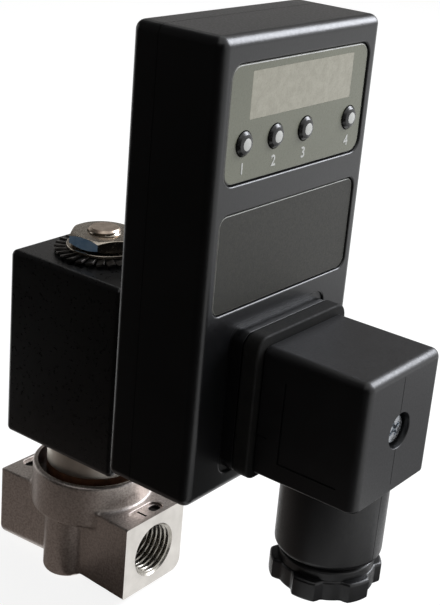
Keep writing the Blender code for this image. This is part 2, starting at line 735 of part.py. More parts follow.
def make_fixed_core(axis):
    """The pole piece that closes the tube, its copper shading ring and the stud that holds the coil."""
    groove_inner = SHADING_RING_RADIUS - SHADING_RING_WIDTH / 2 - SLIDE_GAP
    groove_outer = SHADING_RING_RADIUS + SHADING_RING_WIDTH / 2 + SLIDE_GAP
    groove_top = CORE_FOOT + SHADING_RING_HEIGHT + FIT_GAP
    profile = [
        (0, CORE_FOOT),
        (groove_inner, CORE_FOOT),
        (groove_inner, groove_top),
        (groove_outer, groove_top),
        (groove_outer, CORE_FOOT),
        (PLUNGER_RADIUS, CORE_FOOT),
        (PLUNGER_RADIUS, CORE_FLANGE_FOOT),
        (TUBE_RADIUS, CORE_FLANGE_FOOT),
        (TUBE_RADIUS, CORE_FLANGE_TOP),
        (STUD_RADIUS, CORE_FLANGE_TOP),
        (STUD_RADIUS, STUD_TOP - STUD_CHAMFER),
        (STUD_RADIUS - STUD_CHAMFER, STUD_TOP),
        (0, STUD_TOP),
    ]
    solid("fixed_core", turned(profile, SMALL_ROUND_STEPS), PLATED_STEEL, axis)
    ring = sleeve(
        groove_inner + SLIDE_GAP, groove_outer - SLIDE_GAP, CORE_FOOT, CORE_FOOT + SHADING_RING_HEIGHT
    )
    solid("shading_ring", ring, COPPER, axis)


# Coil


def make_coil(axis, plug_frame):
    cavity_radius = COIL_WIDTH / 2 - COIL_WALL
    depth = COIL_FRONT + COIL_BACK
    middle = (COIL_BACK - COIL_FRONT) / 2
    case = soft_block(COIL_WIDTH, depth, COIL_FOOT, COIL_TOP, COIL_EDGE, COIL_EDGE, COIL_EDGE)
    housing = solid("coil_housing", case, BLACK_EPOXY, axis, at=(0, middle, 0))
    platform = soft_block(
        PLATFORM_SIZE, PLATFORM_SIZE, -OVERSHOOT, RISE_PLATFORM, BOSS_CORNER, end_round=PLATFORM_EDGE
    )
    join(housing, platform, plug_frame)
    cavity = [
        (0, COIL_FOOT - OVERSHOOT),
        (cavity_radius, COIL_FOOT - OVERSHOOT),
        (cavity_radius, ROOF_UNDER),
        (STUD_RADIUS + FIT_GAP, ROOF_UNDER),
        (STUD_RADIUS + FIT_GAP, COIL_TOP + OVERSHOOT),
        (0, COIL_TOP + OVERSHOOT),
    ]
    cut(housing, turned(cavity, ROUND_STEPS), axis)
    blade_foot = RISE_PLATFORM - BLADE_ROOT
    cut(housing, blade_slots(blade_foot - FIT_GAP, RISE_PLATFORM + OVERSHOOT), plug_frame)
    tip = RISE_PLATFORM - SCREW_BITE
    cut(housing, rod(SCREW_RADIUS + FIT_GAP, tip - FIT_GAP, RISE_PLATFORM + OVERSHOOT), plug_frame)

    yoke_outer = cavity_radius - FIT_GAP
    yoke_inner = yoke_outer - YOKE_WALL
    tube_clear = TUBE_RADIUS + FIT_GAP
    yoke_top = ROOF_UNDER - FIT_GAP
    yoke_foot = COIL_FOOT + YOKE_WASHER_HEIGHT + FIT_GAP
    yoke = [
        (yoke_inner, yoke_foot),
        (yoke_outer, yoke_foot),
        (yoke_outer, yoke_top),
        (tube_clear, yoke_top),
        (tube_clear, yoke_top - YOKE_WALL),
        (yoke_inner, yoke_top - YOKE_WALL),
    ]
    solid("flux_sleeve", turned(yoke, SMALL_ROUND_STEPS), YOKE_STEEL, axis)
    washer = sleeve(tube_clear, yoke_outer, COIL_FOOT, COIL_FOOT + YOKE_WASHER_HEIGHT)
    solid("flux_washer", washer, YOKE_STEEL, axis)

    flange_radius = yoke_inner - FIT_GAP
    barrel_radius = tube_clear + BOBBIN_WALL
    spool_foot = yoke_foot
    spool_top = yoke_top - YOKE_WALL - FIT_GAP
    spool = [
        (tube_clear, spool_foot),
        (flange_radius, spool_foot),
        (flange_radius, spool_foot + BOBBIN_FLANGE),
        (barrel_radius, spool_foot + BOBBIN_FLANGE),
        (barrel_radius, spool_top - BOBBIN_FLANGE),
        (flange_radius, spool_top - BOBBIN_FLANGE),
        (flange_radius, spool_top),
        (tube_clear, spool_top),
    ]
    solid("coil_bobbin", turned(spool, SMALL_ROUND_STEPS), BLACK_NYLON, axis)
    winding = sleeve(
        barrel_radius + FIT_GAP,
        flange_radius - WINDING_COVER,
        spool_foot + BOBBIN_FLANGE + FIT_GAP,
        spool_top - BOBBIN_FLANGE - FIT_GAP,
    )
    solid("coil_winding", winding, COPPER, axis)
    make_blades("coil_blade", blade_foot, RISE_PLATFORM + BLADE_REACH, plug_frame)


# Fasteners on the stud


def make_stud_fasteners(axis):
    bore = STUD_RADIUS + FIT_GAP
    lift = LOCK_TOOTH_WIDTH / 2 * sin(LOCK_TOOTH_TWIST) + LOCK_WASHER_THICKNESS / 2
    middle = COIL_TOP + FIT_GAP + lift
    half = LOCK_WASHER_THICKNESS / 2
    ring = sleeve(bore, LOCK_WASHER_ROOT, middle - half, middle + half)
    washer = solid("lock_washer", ring, PLATED_STEEL, axis)
    teeth = bmesh.new()
    inner = LOCK_WASHER_ROOT - OVERSHOOT
    length = LOCK_WASHER_RADIUS - inner
    for k in range(LOCK_TOOTH_COUNT):
        matrix = (
            Matrix.Rotation(2 * pi * k / LOCK_TOOTH_COUNT, 4, "Z")
            @ Matrix.Translation((inner + length / 2, 0, middle))
            @ Matrix.Rotation(LOCK_TOOTH_TWIST, 4, "X")
            @ Matrix.Diagonal((length, LOCK_TOOTH_WIDTH, LOCK_WASHER_THICKNESS, 1))
        )
        bmesh.ops.create_cube(teeth, size=1.0, matrix=matrix)
    join(washer, teeth, axis)

    flat_foot = middle + half + FIT_GAP
    flat_top = flat_foot + FLAT_WASHER_THICKNESS
    solid("flat_washer", sleeve(bore, FLAT_WASHER_RADIUS, flat_foot, flat_top), PLATED_STEEL, axis)

    nut_foot = flat_top + FIT_GAP
    nut_top = nut_foot + NUT_HEIGHT
    corner_radius = NUT_ACROSS_FLATS / sqrt(3)
    turns = [k * pi / 3 + NUT_TURN for k in range(6)]
    hexagon = [(corner_radius * cos(turn), corner_radius * sin(turn)) for turn in turns]
    nut = solid("hex_nut", loft([(hexagon, nut_foot), (hexagon, nut_top)]), PLATED_STEEL, axis)
    chamfer_radius = NUT_ACROSS_FLATS / 2
    slope = (corner_radius - chamfer_radius) / NUT_CHAMFER
    outside = chamfer_radius + slope * 2 * NUT_CHAMFER
    trim = [
        (0, nut_foot),
        (chamfer_radius, nut_foot),
        (outside, nut_foot + 2 * NUT_CHAMFER),
        (outside, nut_top - 2 * NUT_CHAMFER),
        (chamfer_radius, nut_top),
        (0, nut_top),
    ]
    tool(nut, "INTERSECT", turned(trim, ROUND_STEPS), axis)
    cut(nut, rod(bore, nut_foot - OVERSHOOT, nut_top + OVERSHOOT), axis)


# Timer


def make_timer_case(plug_frame):
    shell_foot = RISE_SEAM + FIT_GAP
    shift = (0, FACE_MIDDLE, 0)
    front_form = soft_block(
        TIMER_WIDTH, FACE_HEIGHT, shell_foot, RISE_TIMER_FRONT, TIMER_CORNER, end_round=TIMER_FRONT_ROUND
    )
    shell = solid("timer_front_shell", shifted(front_form, shift), BLACK_ABS, plug_frame)
    inner_width = TIMER_WIDTH - 2 * TIMER_WALL
    inner_height = FACE_HEIGHT - 2 * TIMER_WALL
    inner_corner = TIMER_CORNER / 2
    hollow = soft_block(inner_width, inner_height, shell_foot - OVERSHOOT, RISE_FRONT_INNER, inner_corner)
    cut(shell, shifted(hollow, shift), plug_frame)
    join_shell_posts(shell, plug_frame, shell_foot)
    boss_size = FRONT_BOSS_SIZE
    boss = soft_block(
        boss_size, boss_size, RISE_FRONT_INNER, RISE_FRONT_BOSS, BOSS_CORNER, end_round=BOSS_EDGE
    )
    bed_size = boss_size + 2 * BOSS_BED_MARGIN
    bed = soft_block(
        bed_size, bed_size, RISE_TIMER_FRONT - BOSS_BED_DEPTH, RISE_TIMER_FRONT + OVERSHOOT, BOSS_CORNER
    )
    cut(shell, bed, plug_frame)
    join(shell, boss, plug_frame)
    sleeve_radius = SCREW_RADIUS + FIT_GAP + SCREW_SLEEVE_WALL
    sleeve_foot = RISE_BACK_INNER + FIT_GAP
    join(shell, rod(sleeve_radius, sleeve_foot, RISE_FRONT_BOSS - OVERSHOOT), plug_frame)
    cut(shell, rod(SCREW_RADIUS + FIT_GAP, sleeve_foot - OVERSHOOT, RISE_FRONT_BOSS + OVERSHOOT), plug_frame)
    cut(shell, blade_slots(RISE_FRONT_INNER - OVERSHOOT, RISE_FRONT_BOSS + OVERSHOOT), plug_frame)
    cut_face(shell, plug_frame)

    seam_top = RISE_SEAM
    back_form = soft_block(
        TIMER_WIDTH, FACE_HEIGHT, RISE_TIMER_BACK, seam_top, TIMER_CORNER, start_round=TIMER_BACK_ROUND
    )
    cover = solid("timer_rear_cover", shifted(back_form, shift), BLACK_ABS, plug_frame)
    lip_width = inner_width - 2 * FIT_GAP
    lip_height = inner_height - 2 * FIT_GAP
    lip_top = shell_foot + COVER_LIP_HEIGHT
    lip = soft_block(lip_width, lip_height, RISE_BACK_INNER, lip_top, inner_corner)
    join(cover, shifted(lip, shift), plug_frame)
    back_hollow = soft_block(
        lip_width - 2 * COVER_LIP_WALL,
        lip_height - 2 * COVER_LIP_WALL,
        RISE_BACK_INNER,
        lip_top + OVERSHOOT,
        inner_corner,
    )
    cut(cover, shifted(back_hollow, shift), plug_frame)
    socket_size = REAR_BOSS_SIZE
    into_cover = RISE_TIMER_BACK + OVERSHOOT
    socket = soft_block(
        socket_size, socket_size, RISE_REAR_BOSS, into_cover, BOSS_CORNER, start_round=BOSS_EDGE
    )
    join(cover, socket, plug_frame)
    below = RISE_REAR_BOSS - OVERSHOOT
    above = RISE_BACK_INNER + OVERSHOOT
    cut(cover, blade_slots(below, above), plug_frame)
    cut(cover, rod(SCREW_RADIUS + FIT_GAP, below, above), plug_frame)
    make_cover_screws(cover, plug_frame, shell_foot)


def join_shell_posts(shell, plug_frame, shell_foot):
    """Four stepped posts: the board sits on their shoulders and the cover screws bite in their tips."""
    shoulder = RISE_BOARD_FRONT + FIT_GAP
    top = RISE_FRONT_INNER + TIMER_WALL / 2
    profile = [
        (0, shell_foot),
        (POST_TIP_RADIUS, shell_foot),
        (POST_TIP_RADIUS, shoulder),
        (POST_RADIUS, shoulder),
        (POST_RADIUS, top),
        (0, top),
    ]
    posts = merged([shifted(turned(profile, SMALL_ROUND_STEPS // 2), (x, y, 0)) for x, y in POST_PLACES])
    join(shell, posts, plug_frame)


def make_cover_screws(cover, plug_frame, shell_foot):
    """Screws sunk in the back of the cover, through it and up into the shell's posts."""
    shell = bpy.data.objects["timer_front_shell"]
    head_foot = RISE_TIMER_BACK + COVER_SCREW_SINK
    head_top = head_foot + COVER_SCREW_HEAD_HEIGHT
    tip = shell_foot + COVER_SCREW_BITE
    screw = [
        (0, head_foot),
        (COVER_SCREW_HEAD, head_foot),
        (COVER_SCREW_HEAD, head_top),
        (COVER_SCREW_RADIUS, head_top),
        (COVER_SCREW_RADIUS, tip),
        (0, tip),
    ]
    clear_head = COVER_SCREW_HEAD + FIT_GAP
    clear_shank = COVER_SCREW_RADIUS + FIT_GAP
    post_foot = RISE_BACK_INNER - OVERSHOOT
    post = [
        (0, post_foot),
        (POST_RADIUS + FIT_GAP, post_foot),
        (POST_RADIUS + FIT_GAP, RISE_SEAM),
        (0, RISE_SEAM),
    ]
    well = [
        (0, RISE_TIMER_BACK - OVERSHOOT),
        (clear_head, RISE_TIMER_BACK - OVERSHOOT),
        (clear_head, head_top + FIT_GAP),
        (clear_shank, head_top + FIT_GAP),
        (clear_shank, RISE_SEAM + OVERSHOOT),
        (0, RISE_SEAM + OVERSHOOT),
    ]
    pilot_top = tip + FIT_GAP
    pilot = [
        (0, shell_foot - OVERSHOOT),
        (clear_shank, shell_foot - OVERSHOOT),
        (clear_shank, pilot_top),
        (0, pilot_top),
    ]
    steps = SMALL_ROUND_STEPS // 2

    def at_posts(profile):
        return merged([shifted(turned(profile, steps), (x, y, 0)) for x, y in POST_PLACES])

    join(cover, at_posts(post), plug_frame)
    cut(cover, at_posts(well), plug_frame)
    cut(shell, at_posts(pilot), plug_frame)
    for number, (x, y) in enumerate(POST_PLACES, 1):
        solid(f"cover_screw_{number}", turned(screw, steps), PLATED_STEEL, plug_frame, at=(x, y, 0))


def panel_floor():
    return RISE_TIMER_FRONT - FACE_SINK - PANEL_THICKNESS - FIT_GAP


def label_floor():
    return RISE_TIMER_FRONT - FACE_SINK - LABEL_THICKNESS - FIT_GAP


def face_recess(width, height, corner, floor, middle):
    block = soft_block(width, height, floor, RISE_TIMER_FRONT + OVERSHOOT, corner)
    return shifted(block, (0, middle, 0))


def cut_face(shell, plug_frame):
    """Sunk beds for the panel and the label, the window, and the holes for the buttons and the lamp."""
    panel_middle = (PANEL_FOOT + PANEL_HEAD) / 2
    panel_height = PANEL_HEAD - PANEL_FOOT
    cut(shell, face_recess(PANEL_WIDTH, panel_height, PANEL_CORNER, panel_floor(), panel_middle), plug_frame)
    label_middle = (LABEL_FOOT + LABEL_TOP) / 2
    cut(shell, face_recess(PANEL_WIDTH, LABEL_HEIGHT, LABEL_CORNER, label_floor(), label_middle), plug_frame)
    wall_middle = (RISE_FRONT_INNER + RISE_TIMER_FRONT) / 2
    through = TIMER_WALL + 2 * OVERSHOOT
    window = boxes([((*WINDOW_MIDDLE, wall_middle), (WINDOW_WIDTH, WINDOW_HEIGHT, through))])
    cut(shell, window, plug_frame)
    hole_start = RISE_FRONT_INNER - OVERSHOOT
    hole_end = RISE_TIMER_FRONT + OVERSHOOT
    holes = [
        shifted(rod(BUTTON_RADIUS + SLIDE_GAP, hole_start, hole_end), (x, BUTTON_ROW, 0))
        for x in BUTTON_PLACES.values()
    ]
    holes.append(shifted(rod(LAMP_RADIUS + FIT_GAP, hole_start, hole_end), (*LAMP_PLACE, 0)))
    cut(shell, merged(holes), plug_frame)


def make_face(plug_frame):
    """The smoked panel, the bare label film and the four buttons."""
    panel_foot = panel_floor() + FIT_GAP
    panel_middle = (PANEL_FOOT + PANEL_HEAD) / 2
    form = soft_block(
        PANEL_WIDTH - 2 * FIT_GAP,
        PANEL_HEAD - PANEL_FOOT - 2 * FIT_GAP,
        panel_foot,
        panel_foot + PANEL_THICKNESS,
        PANEL_CORNER - FIT_GAP,
    )
    panel = solid("display_panel", shifted(form, (0, panel_middle, 0)), SMOKED_FILM, plug_frame)
    holes = [
        shifted(
            rod(BUTTON_RADIUS + SLIDE_GAP, panel_foot - OVERSHOOT, panel_foot + PANEL_THICKNESS + OVERSHOOT),
            (x, BUTTON_ROW, 0),
        )
        for x in BUTTON_PLACES.values()
    ]
    cut(panel, merged(holes), plug_frame)

    label_foot = label_floor() + FIT_GAP
    film = soft_block(
        PANEL_WIDTH - 2 * FIT_GAP,
        LABEL_HEIGHT - 2 * FIT_GAP,
        label_foot,
        label_foot + LABEL_THICKNESS,
        LABEL_CORNER - FIT_GAP,
    )
    solid("label_film", shifted(film, (0, (LABEL_FOOT + LABEL_TOP) / 2, 0)), LABEL_FILM, plug_frame)

    length = RISE_TIMER_FRONT + BUTTON_RISE - RISE_BUTTON_FLANGE
    flange_radius = BUTTON_RADIUS + BUTTON_FLANGE
    profile = [
        (0, 0),
        (flange_radius, 0),
        (flange_radius, BUTTON_FLANGE_HEIGHT),
        (BUTTON_RADIUS, BUTTON_FLANGE_HEIGHT),
        (BUTTON_RADIUS, length - BUTTON_EDGE),
        (BUTTON_RADIUS - BUTTON_EDGE, length),
    ]
    for angle in (0, pi / 4, pi / 2):
        profile.append((BUTTON_TIP_RADIUS * cos(angle), length + BUTTON_TIP_RISE * sin(angle)))
    for name, x in BUTTON_PLACES.items():
        button = turned(profile, SMALL_ROUND_STEPS)
        solid(name, button, DARK_BUTTON, plug_frame, at=(x, BUTTON_ROW, RISE_BUTTON_FLANGE))


def make_electronics(plug_frame):
    """The board on the shell's posts, with what it carries on both sides."""
    board_width = TIMER_WIDTH - 2 * (TIMER_WALL + FIT_GAP)
    board_height = FACE_HEIGHT - 2 * (TIMER_WALL + FIT_GAP)
    plate = soft_block(board_width, board_height, RISE_BOARD_BACK, RISE_BOARD_FRONT, TIMER_CORNER / 2)
    board = solid("circuit_board", shifted(plate, (0, FACE_MIDDLE, 0)), GREEN_BOARD, plug_frame)
    start = RISE_BOARD_BACK - OVERSHOOT
    end = RISE_BOARD_FRONT + OVERSHOOT
    steps = SMALL_ROUND_STEPS // 2
    holes = [shifted(rod(POST_TIP_RADIUS + FIT_GAP, start, end, steps), (x, y, 0)) for x, y in POST_PLACES]
    sleeve_radius = SCREW_RADIUS + 2 * FIT_GAP + SCREW_SLEEVE_WALL
    holes.append(rod(sleeve_radius, start, end))
    cut(board, merged(holes), plug_frame)

    on_board = RISE_BOARD_FRONT + FIT_GAP
    under_panel = panel_floor()
    module_size = (WINDOW_WIDTH - 2 * FIT_GAP, WINDOW_HEIGHT - 2 * FIT_GAP)
    module = soft_block(*module_size, on_board, under_panel, FIT_GAP)
    solid("display_module", shifted(module, (*WINDOW_MIDDLE, 0)), PALE_DISPLAY, plug_frame)
    lamp = [
        (0, on_board),
        (LAMP_RADIUS, on_board),
        (LAMP_RADIUS, under_panel - LAMP_RADIUS / 2),
        (LAMP_RADIUS / 2, under_panel),
        (0, under_panel),
    ]
    solid("indicator_lamp", turned(lamp, SMALL_ROUND_STEPS // 2), RED_LENS, plug_frame, at=(*LAMP_PLACE, 0))
    for name, x in BUTTON_PLACES.items():
        switch = soft_block(SWITCH_SIZE, SWITCH_SIZE, on_board, RISE_SWITCH_TOP, FIT_GAP)
        solid(name.replace("button", "switch"), switch, BLACK_NYLON, plug_frame, at=(x, BUTTON_ROW, 0))
    make_blades("timer_blade", on_board, RISE_FRONT_BOSS + BLADE_REACH, plug_frame)

    under_board = RISE_BOARD_BACK - FIT_GAP
    contact_foot = RISE_BACK_INNER + FIT_GAP
    slot_top = RISE_PLATFORM + BLADE_REACH + FIT_GAP
    for key, (centre, size) in blade_places(contact_foot, under_board, FIT_GAP + CONTACT_WALL).items():
        clip = solid(f"socket_contact_{key}", boxes([((0, 0, 0), size)]), BRASS, plug_frame, at=centre)
        cut(clip, blade_slots(contact_foot - OVERSHOOT, slot_top), plug_frame)


def make_gaskets(plug_frame):
    """Flat profile gaskets: coil to timer, and timer to connector."""
    for name, foot, thickness, size in (
        ("coil_gasket", RISE_COIL_GASKET, COIL_GASKET_THICKNESS, REAR_BOSS_SIZE),
        ("connector_gasket", RISE_PLUG_GASKET, PLUG_GASKET_THICKNESS, FRONT_BOSS_SIZE + 2 * GASKET_LIP),
    ):
        top = foot + thickness
        gasket = solid(name, soft_block(size, size, foot, top, BOSS_CORNER), BLACK_RUBBER, plug_frame)
        cut(gasket, blade_slots(foot - OVERSHOOT, top + OVERSHOOT), plug_frame)
        cut(gasket, rod(SCREW_RADIUS + FIT_GAP, foot - OVERSHOOT, top + OVERSHOOT), plug_frame)


# Connector and gland


def side_grooves():
    """The thin angled groove moulded in each side of the connector."""
    low = GROOVE_FOOT - CONNECTOR_HEIGHT / 2
    high = CONNECTOR_HEIGHT / 2 - GROOVE_HEAD
    back = RISE_CONNECTOR + GROOVE_SETBACK
    front = RISE_CONNECTOR_FRONT - GROOVE_FRONT
    angle = [
        (back, high),
        (back, low),
        (front, low),
        (front, low + GROOVE_WIDTH),
        (back + GROOVE_WIDTH, low + GROOVE_WIDTH),
        (back + GROOVE_WIDTH, high),
    ]
    grooves = bmesh.new()
    for side in (-1, 1):
        deep = side * (CONNECTOR_WIDTH / 2 - GROOVE_DEPTH)
        out = side * (CONNECTOR_WIDTH / 2 + OVERSHOOT)
        face = grooves.faces.new([grooves.verts.new((deep, y, z)) for z, y in angle])
        pulled = bmesh.ops.extrude_face_region(grooves, geom=[face])["geom"]
        moved = [item for item in pulled if isinstance(item, bmesh.types.BMVert)]
        bmesh.ops.translate(grooves, verts=moved, vec=(out - deep, 0, 0))
    return grooves


def connector_form():
    """The connector's block: rounded above, at the sides and in front, but with a crisp foot."""
    foot_share = CONNECTOR_FOOT_EDGE / CONNECTOR_ROUND

    def ring(inset, z):
        foot_inset = inset * foot_share
        corner = max(CONNECTOR_CORNER - inset, CONNECTOR_FOOT_EDGE)
        corners = (CONNECTOR_FOOT_EDGE, corner, corner, CONNECTOR_FOOT_EDGE)
        outline = rounded_outline(CONNECTOR_WIDTH - 2 * inset, CONNECTOR_HEIGHT - inset - foot_inset, corners)
        return [(x, y + (foot_inset - inset) / 2) for x, y in outline], z

    front = [ring(inset, RISE_CONNECTOR_FRONT - rise) for inset, rise in edge_steps(CONNECTOR_ROUND)]
    return loft([ring(0, RISE_CONNECTOR)] + front[::-1])


def make_connector(plug_frame, gland_frame):
    housing = solid("connector_housing", connector_form(), BLACK_NYLON, plug_frame)
    sleeve_edge = [(SLEEVE_RADIUS - inset, rise - SLEEVE_LENGTH) for inset, rise in edge_steps(SLEEVE_EDGE)]
    into_wall = CONNECTOR_WALL / 2
    spout = [(0, -SLEEVE_LENGTH)] + sleeve_edge + [(SLEEVE_RADIUS, into_wall), (0, into_wall)]
    join(housing, turned(spout, ROUND_STEPS), gland_frame)
    inner_width = CONNECTOR_WIDTH - 2 * CONNECTOR_WALL
    inner_height = CONNECTOR_HEIGHT - 2 * CONNECTOR_WALL
    inner_corner = CONNECTOR_CORNER / 2
    cavity_front = RISE_CONNECTOR_FRONT - CONNECTOR_WALL
    hollow = soft_block(inner_width, inner_height, RISE_CONNECTOR - OVERSHOOT, cavity_front, inner_corner)
    cut(housing, hollow, plug_frame)
    cut(housing, side_grooves(), plug_frame)
    well_floor = RISE_CONNECTOR_FRONT - SCREW_WELL_DEPTH
    tower_foot = well_floor - SCREW_WELL_FLOOR
    tower = rod(SCREW_WELL_RADIUS + SCREW_WELL_WALL, tower_foot, cavity_front + CONNECTOR_WALL / 2)
    join(housing, tower, plug_frame)
    well = [
        (0, tower_foot - OVERSHOOT),
        (SCREW_RADIUS + FIT_GAP, tower_foot - OVERSHOOT),
        (SCREW_RADIUS + FIT_GAP, well_floor),
        (SCREW_WELL_RADIUS, well_floor),
        (SCREW_WELL_RADIUS, RISE_CONNECTOR_FRONT + OVERSHOOT),
        (0, RISE_CONNECTOR_FRONT + OVERSHOOT),
    ]
    cut(housing, turned(well, SMALL_ROUND_STEPS), plug_frame)
    wire_hole = CABLE_BORE_RADIUS + FIT_GAP
    gland_bore = [
        (0, -SLEEVE_LENGTH - OVERSHOOT),
        (GLAND_BORE_RADIUS, -SLEEVE_LENGTH - OVERSHOOT),
        (GLAND_BORE_RADIUS, -GLAND_SHOULDER),
        (wire_hole, -GLAND_SHOULDER),
        (wire_hole, CONNECTOR_WALL + OVERSHOOT),
        (0, CONNECTOR_WALL + OVERSHOOT),
    ]
    cut(housing, turned(gland_bore, SMALL_ROUND_STEPS), gland_frame)

    insert_start = RISE_CONNECTOR + FIT_GAP
    insert_end = insert_start + INSERT_DEPTH
    insert_head = inner_height / 2 - FIT_GAP
    insert_form = soft_block(
        inner_width - 2 * FIT_GAP, insert_head + INSERT_FOOT, insert_start, insert_end, inner_corner
    )
    insert_middle = (0, (insert_head - INSERT_FOOT) / 2, 0)
    insert = solid("terminal_insert", shifted(insert_form, insert_middle), BLACK_NYLON, plug_frame)
    cut(insert, blade_slots(insert_start - OVERSHOOT, insert_end + OVERSHOOT), plug_frame)
    cut(insert, rod(SCREW_RADIUS + FIT_GAP, insert_start - OVERSHOOT, insert_end + OVERSHOOT), plug_frame)

    seal_foot = well_floor + FIT_GAP
    seal_top = seal_foot + SCREW_SEAL_HEIGHT
    seal_inner = SCREW_RADIUS + FIT_GAP
    solid("screw_seal", sleeve(seal_inner, SCREW_HEAD_RADIUS, seal_foot, seal_top), BLACK_RUBBER, plug_frame)
    head_foot = seal_top + FIT_GAP
    head_top = head_foot + SCREW_HEAD_HEIGHT
    tip = RISE_PLATFORM - SCREW_BITE
    screw = [
        (0, tip),
        (SCREW_RADIUS, tip),
        (SCREW_RADIUS, head_foot),
        (SCREW_HEAD_RADIUS, head_foot),
        (SCREW_HEAD_RADIUS, head_top - SCREW_HEAD_HEIGHT / 4),
        (SCREW_HEAD_RADIUS - SCREW_HEAD_HEIGHT / 4, head_top),
        (0, head_top),
    ]
    solid("connector_screw", turned(screw, SMALL_ROUND_STEPS), PLATED_STEEL, plug_frame)


def lobed_ring(inset):
    """Outline of the gland nut: blunt lobes for the fingers with a wide flat hollow between each two."""
    steps_per_lobe = 8
    points = []
    for k in range(GLAND_LOBES * steps_per_lobe):
        angle = 2 * pi * k / (GLAND_LOBES * steps_per_lobe)
        crest = (1 + cos(GLAND_LOBES * angle)) / 2
        fall = min(1, max(0, (LOBE_CREST - crest) / (LOBE_CREST - LOBE_FLOOR)))
        hollow = fall**2 * (3 - 2 * fall)
        radius = GLAND_NUT_RADIUS - inset - GLAND_NOTCH_DEPTH * hollow
        points.append((radius * cos(angle + GLAND_LOBE_TURN), radius * sin(angle + GLAND_LOBE_TURN)))
    return points


def make_gland(gland_frame):
    packing_radius = GLAND_BORE_RADIUS - FIT_GAP
    grommet_top = -GLAND_SHOULDER - FIT_GAP
    grommet_foot = grommet_top - GROMMET_LENGTH
    grommet = sleeve(CABLE_BORE_RADIUS, packing_radius, grommet_foot, grommet_top)
    solid("gland_grommet", grommet, BLACK_RUBBER, gland_frame)
    washer_top = grommet_foot - FIT_GAP
    washer_foot = washer_top - GLAND_WASHER_THICKNESS
    washer = sleeve(CABLE_BORE_RADIUS, packing_radius, washer_foot, washer_top)
    solid("gland_washer", washer, PLATED_STEEL, gland_frame)

    neck_top = washer_foot - FIT_GAP
    collar_top = -SLEEVE_LENGTH - GLAND_NUT_SHOW
    head_top = collar_top - GLAND_COLLAR_HEIGHT
    head_foot = head_top - GLAND_NUT_HEIGHT
    rings = [(lobed_ring(inset), head_foot + rise) for inset, rise in edge_steps(GLAND_NUT_EDGE)]
    rings += [(lobed_ring(inset), head_top - rise) for inset, rise in edge_steps(GLAND_NUT_EDGE)][::-1]
    nut = solid("gland_nut", loft(rings), BLACK_NYLON, gland_frame)
    into_head = head_top - GLAND_NUT_EDGE
    collar = [
        (0, into_head),
        (GLAND_COLLAR_RADIUS, into_head),
        (GLAND_COLLAR_RADIUS, collar_top - GLAND_NUT_EDGE),
        (packing_radius, collar_top),
        (packing_radius, neck_top),
        (0, neck_top),
    ]
    join(nut, turned(collar, ROUND_STEPS), gland_frame)
    cut(nut, rod(CABLE_BORE_RADIUS, head_foot - OVERSHOOT, neck_top + OVERSHOOT), gland_frame)


# Assembly

clear_scene()
valve_axis = frame_empty("valve_axis", (0, 0, 0))
plunger_axis = frame_empty("plunger_axis", (0, 0, PLUNGER_FOOT))
plug_frame = frame_empty("plug_frame", (0, -COIL_FRONT, SCREW_AXIS_HEIGHT), (pi / 2, 0, 0))
gland_frame = frame_empty(
    "gland_frame",
    (0, -COIL_FRONT - RISE_CONNECTOR - GLAND_SETBACK, SCREW_AXIS_HEIGHT - CONNECTOR_HEIGHT / 2),
)
make_valve_body(valve_axis)
make_guide_tube(valve_axis)
make_plunger(plunger_axis)
make_fixed_core(valve_axis)
make_coil(valve_axis, plug_frame)
make_stud_fasteners(valve_axis)
make_gaskets(plug_frame)
make_timer_case(plug_frame)
make_face(plug_frame)
make_electronics(plug_frame)
make_connector(plug_frame, gland_frame)
make_gland(gland_frame)
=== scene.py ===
"""Looks of a timer-controlled condensate drain valve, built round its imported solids. Metres, +Z up."""

from math import cos, hypot, pi, radians, sin, sqrt, tan

import bmesh
import bpy
import numpy as np
from mathutils import Matrix, Vector


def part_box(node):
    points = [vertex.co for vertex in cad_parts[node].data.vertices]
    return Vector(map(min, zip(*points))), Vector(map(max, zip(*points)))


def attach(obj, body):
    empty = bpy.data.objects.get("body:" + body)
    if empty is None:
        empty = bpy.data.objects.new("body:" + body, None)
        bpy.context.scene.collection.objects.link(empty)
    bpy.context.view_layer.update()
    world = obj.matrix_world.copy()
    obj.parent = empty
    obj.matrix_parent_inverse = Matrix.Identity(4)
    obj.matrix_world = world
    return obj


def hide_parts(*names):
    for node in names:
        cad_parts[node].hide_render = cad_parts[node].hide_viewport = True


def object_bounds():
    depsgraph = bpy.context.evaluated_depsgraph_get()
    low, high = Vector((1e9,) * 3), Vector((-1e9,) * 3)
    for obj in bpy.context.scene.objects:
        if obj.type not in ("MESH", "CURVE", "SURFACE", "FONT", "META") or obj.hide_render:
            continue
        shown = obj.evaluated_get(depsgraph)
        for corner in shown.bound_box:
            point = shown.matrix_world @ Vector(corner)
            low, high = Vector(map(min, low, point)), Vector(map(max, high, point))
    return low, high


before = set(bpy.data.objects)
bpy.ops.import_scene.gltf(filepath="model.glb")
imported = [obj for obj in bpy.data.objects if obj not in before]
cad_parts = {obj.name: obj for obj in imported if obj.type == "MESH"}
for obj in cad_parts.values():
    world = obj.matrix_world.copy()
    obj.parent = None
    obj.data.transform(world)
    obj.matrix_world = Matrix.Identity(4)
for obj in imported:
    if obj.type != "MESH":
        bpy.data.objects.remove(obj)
cad_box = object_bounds()

# Valve body
# An investment casting in stainless steel with two pipe ports, shot-blasted all over, then faced, bored and
# tapped. Its skin is one blended form: arms, boss, pillars and foot run together in soft cast hollows.

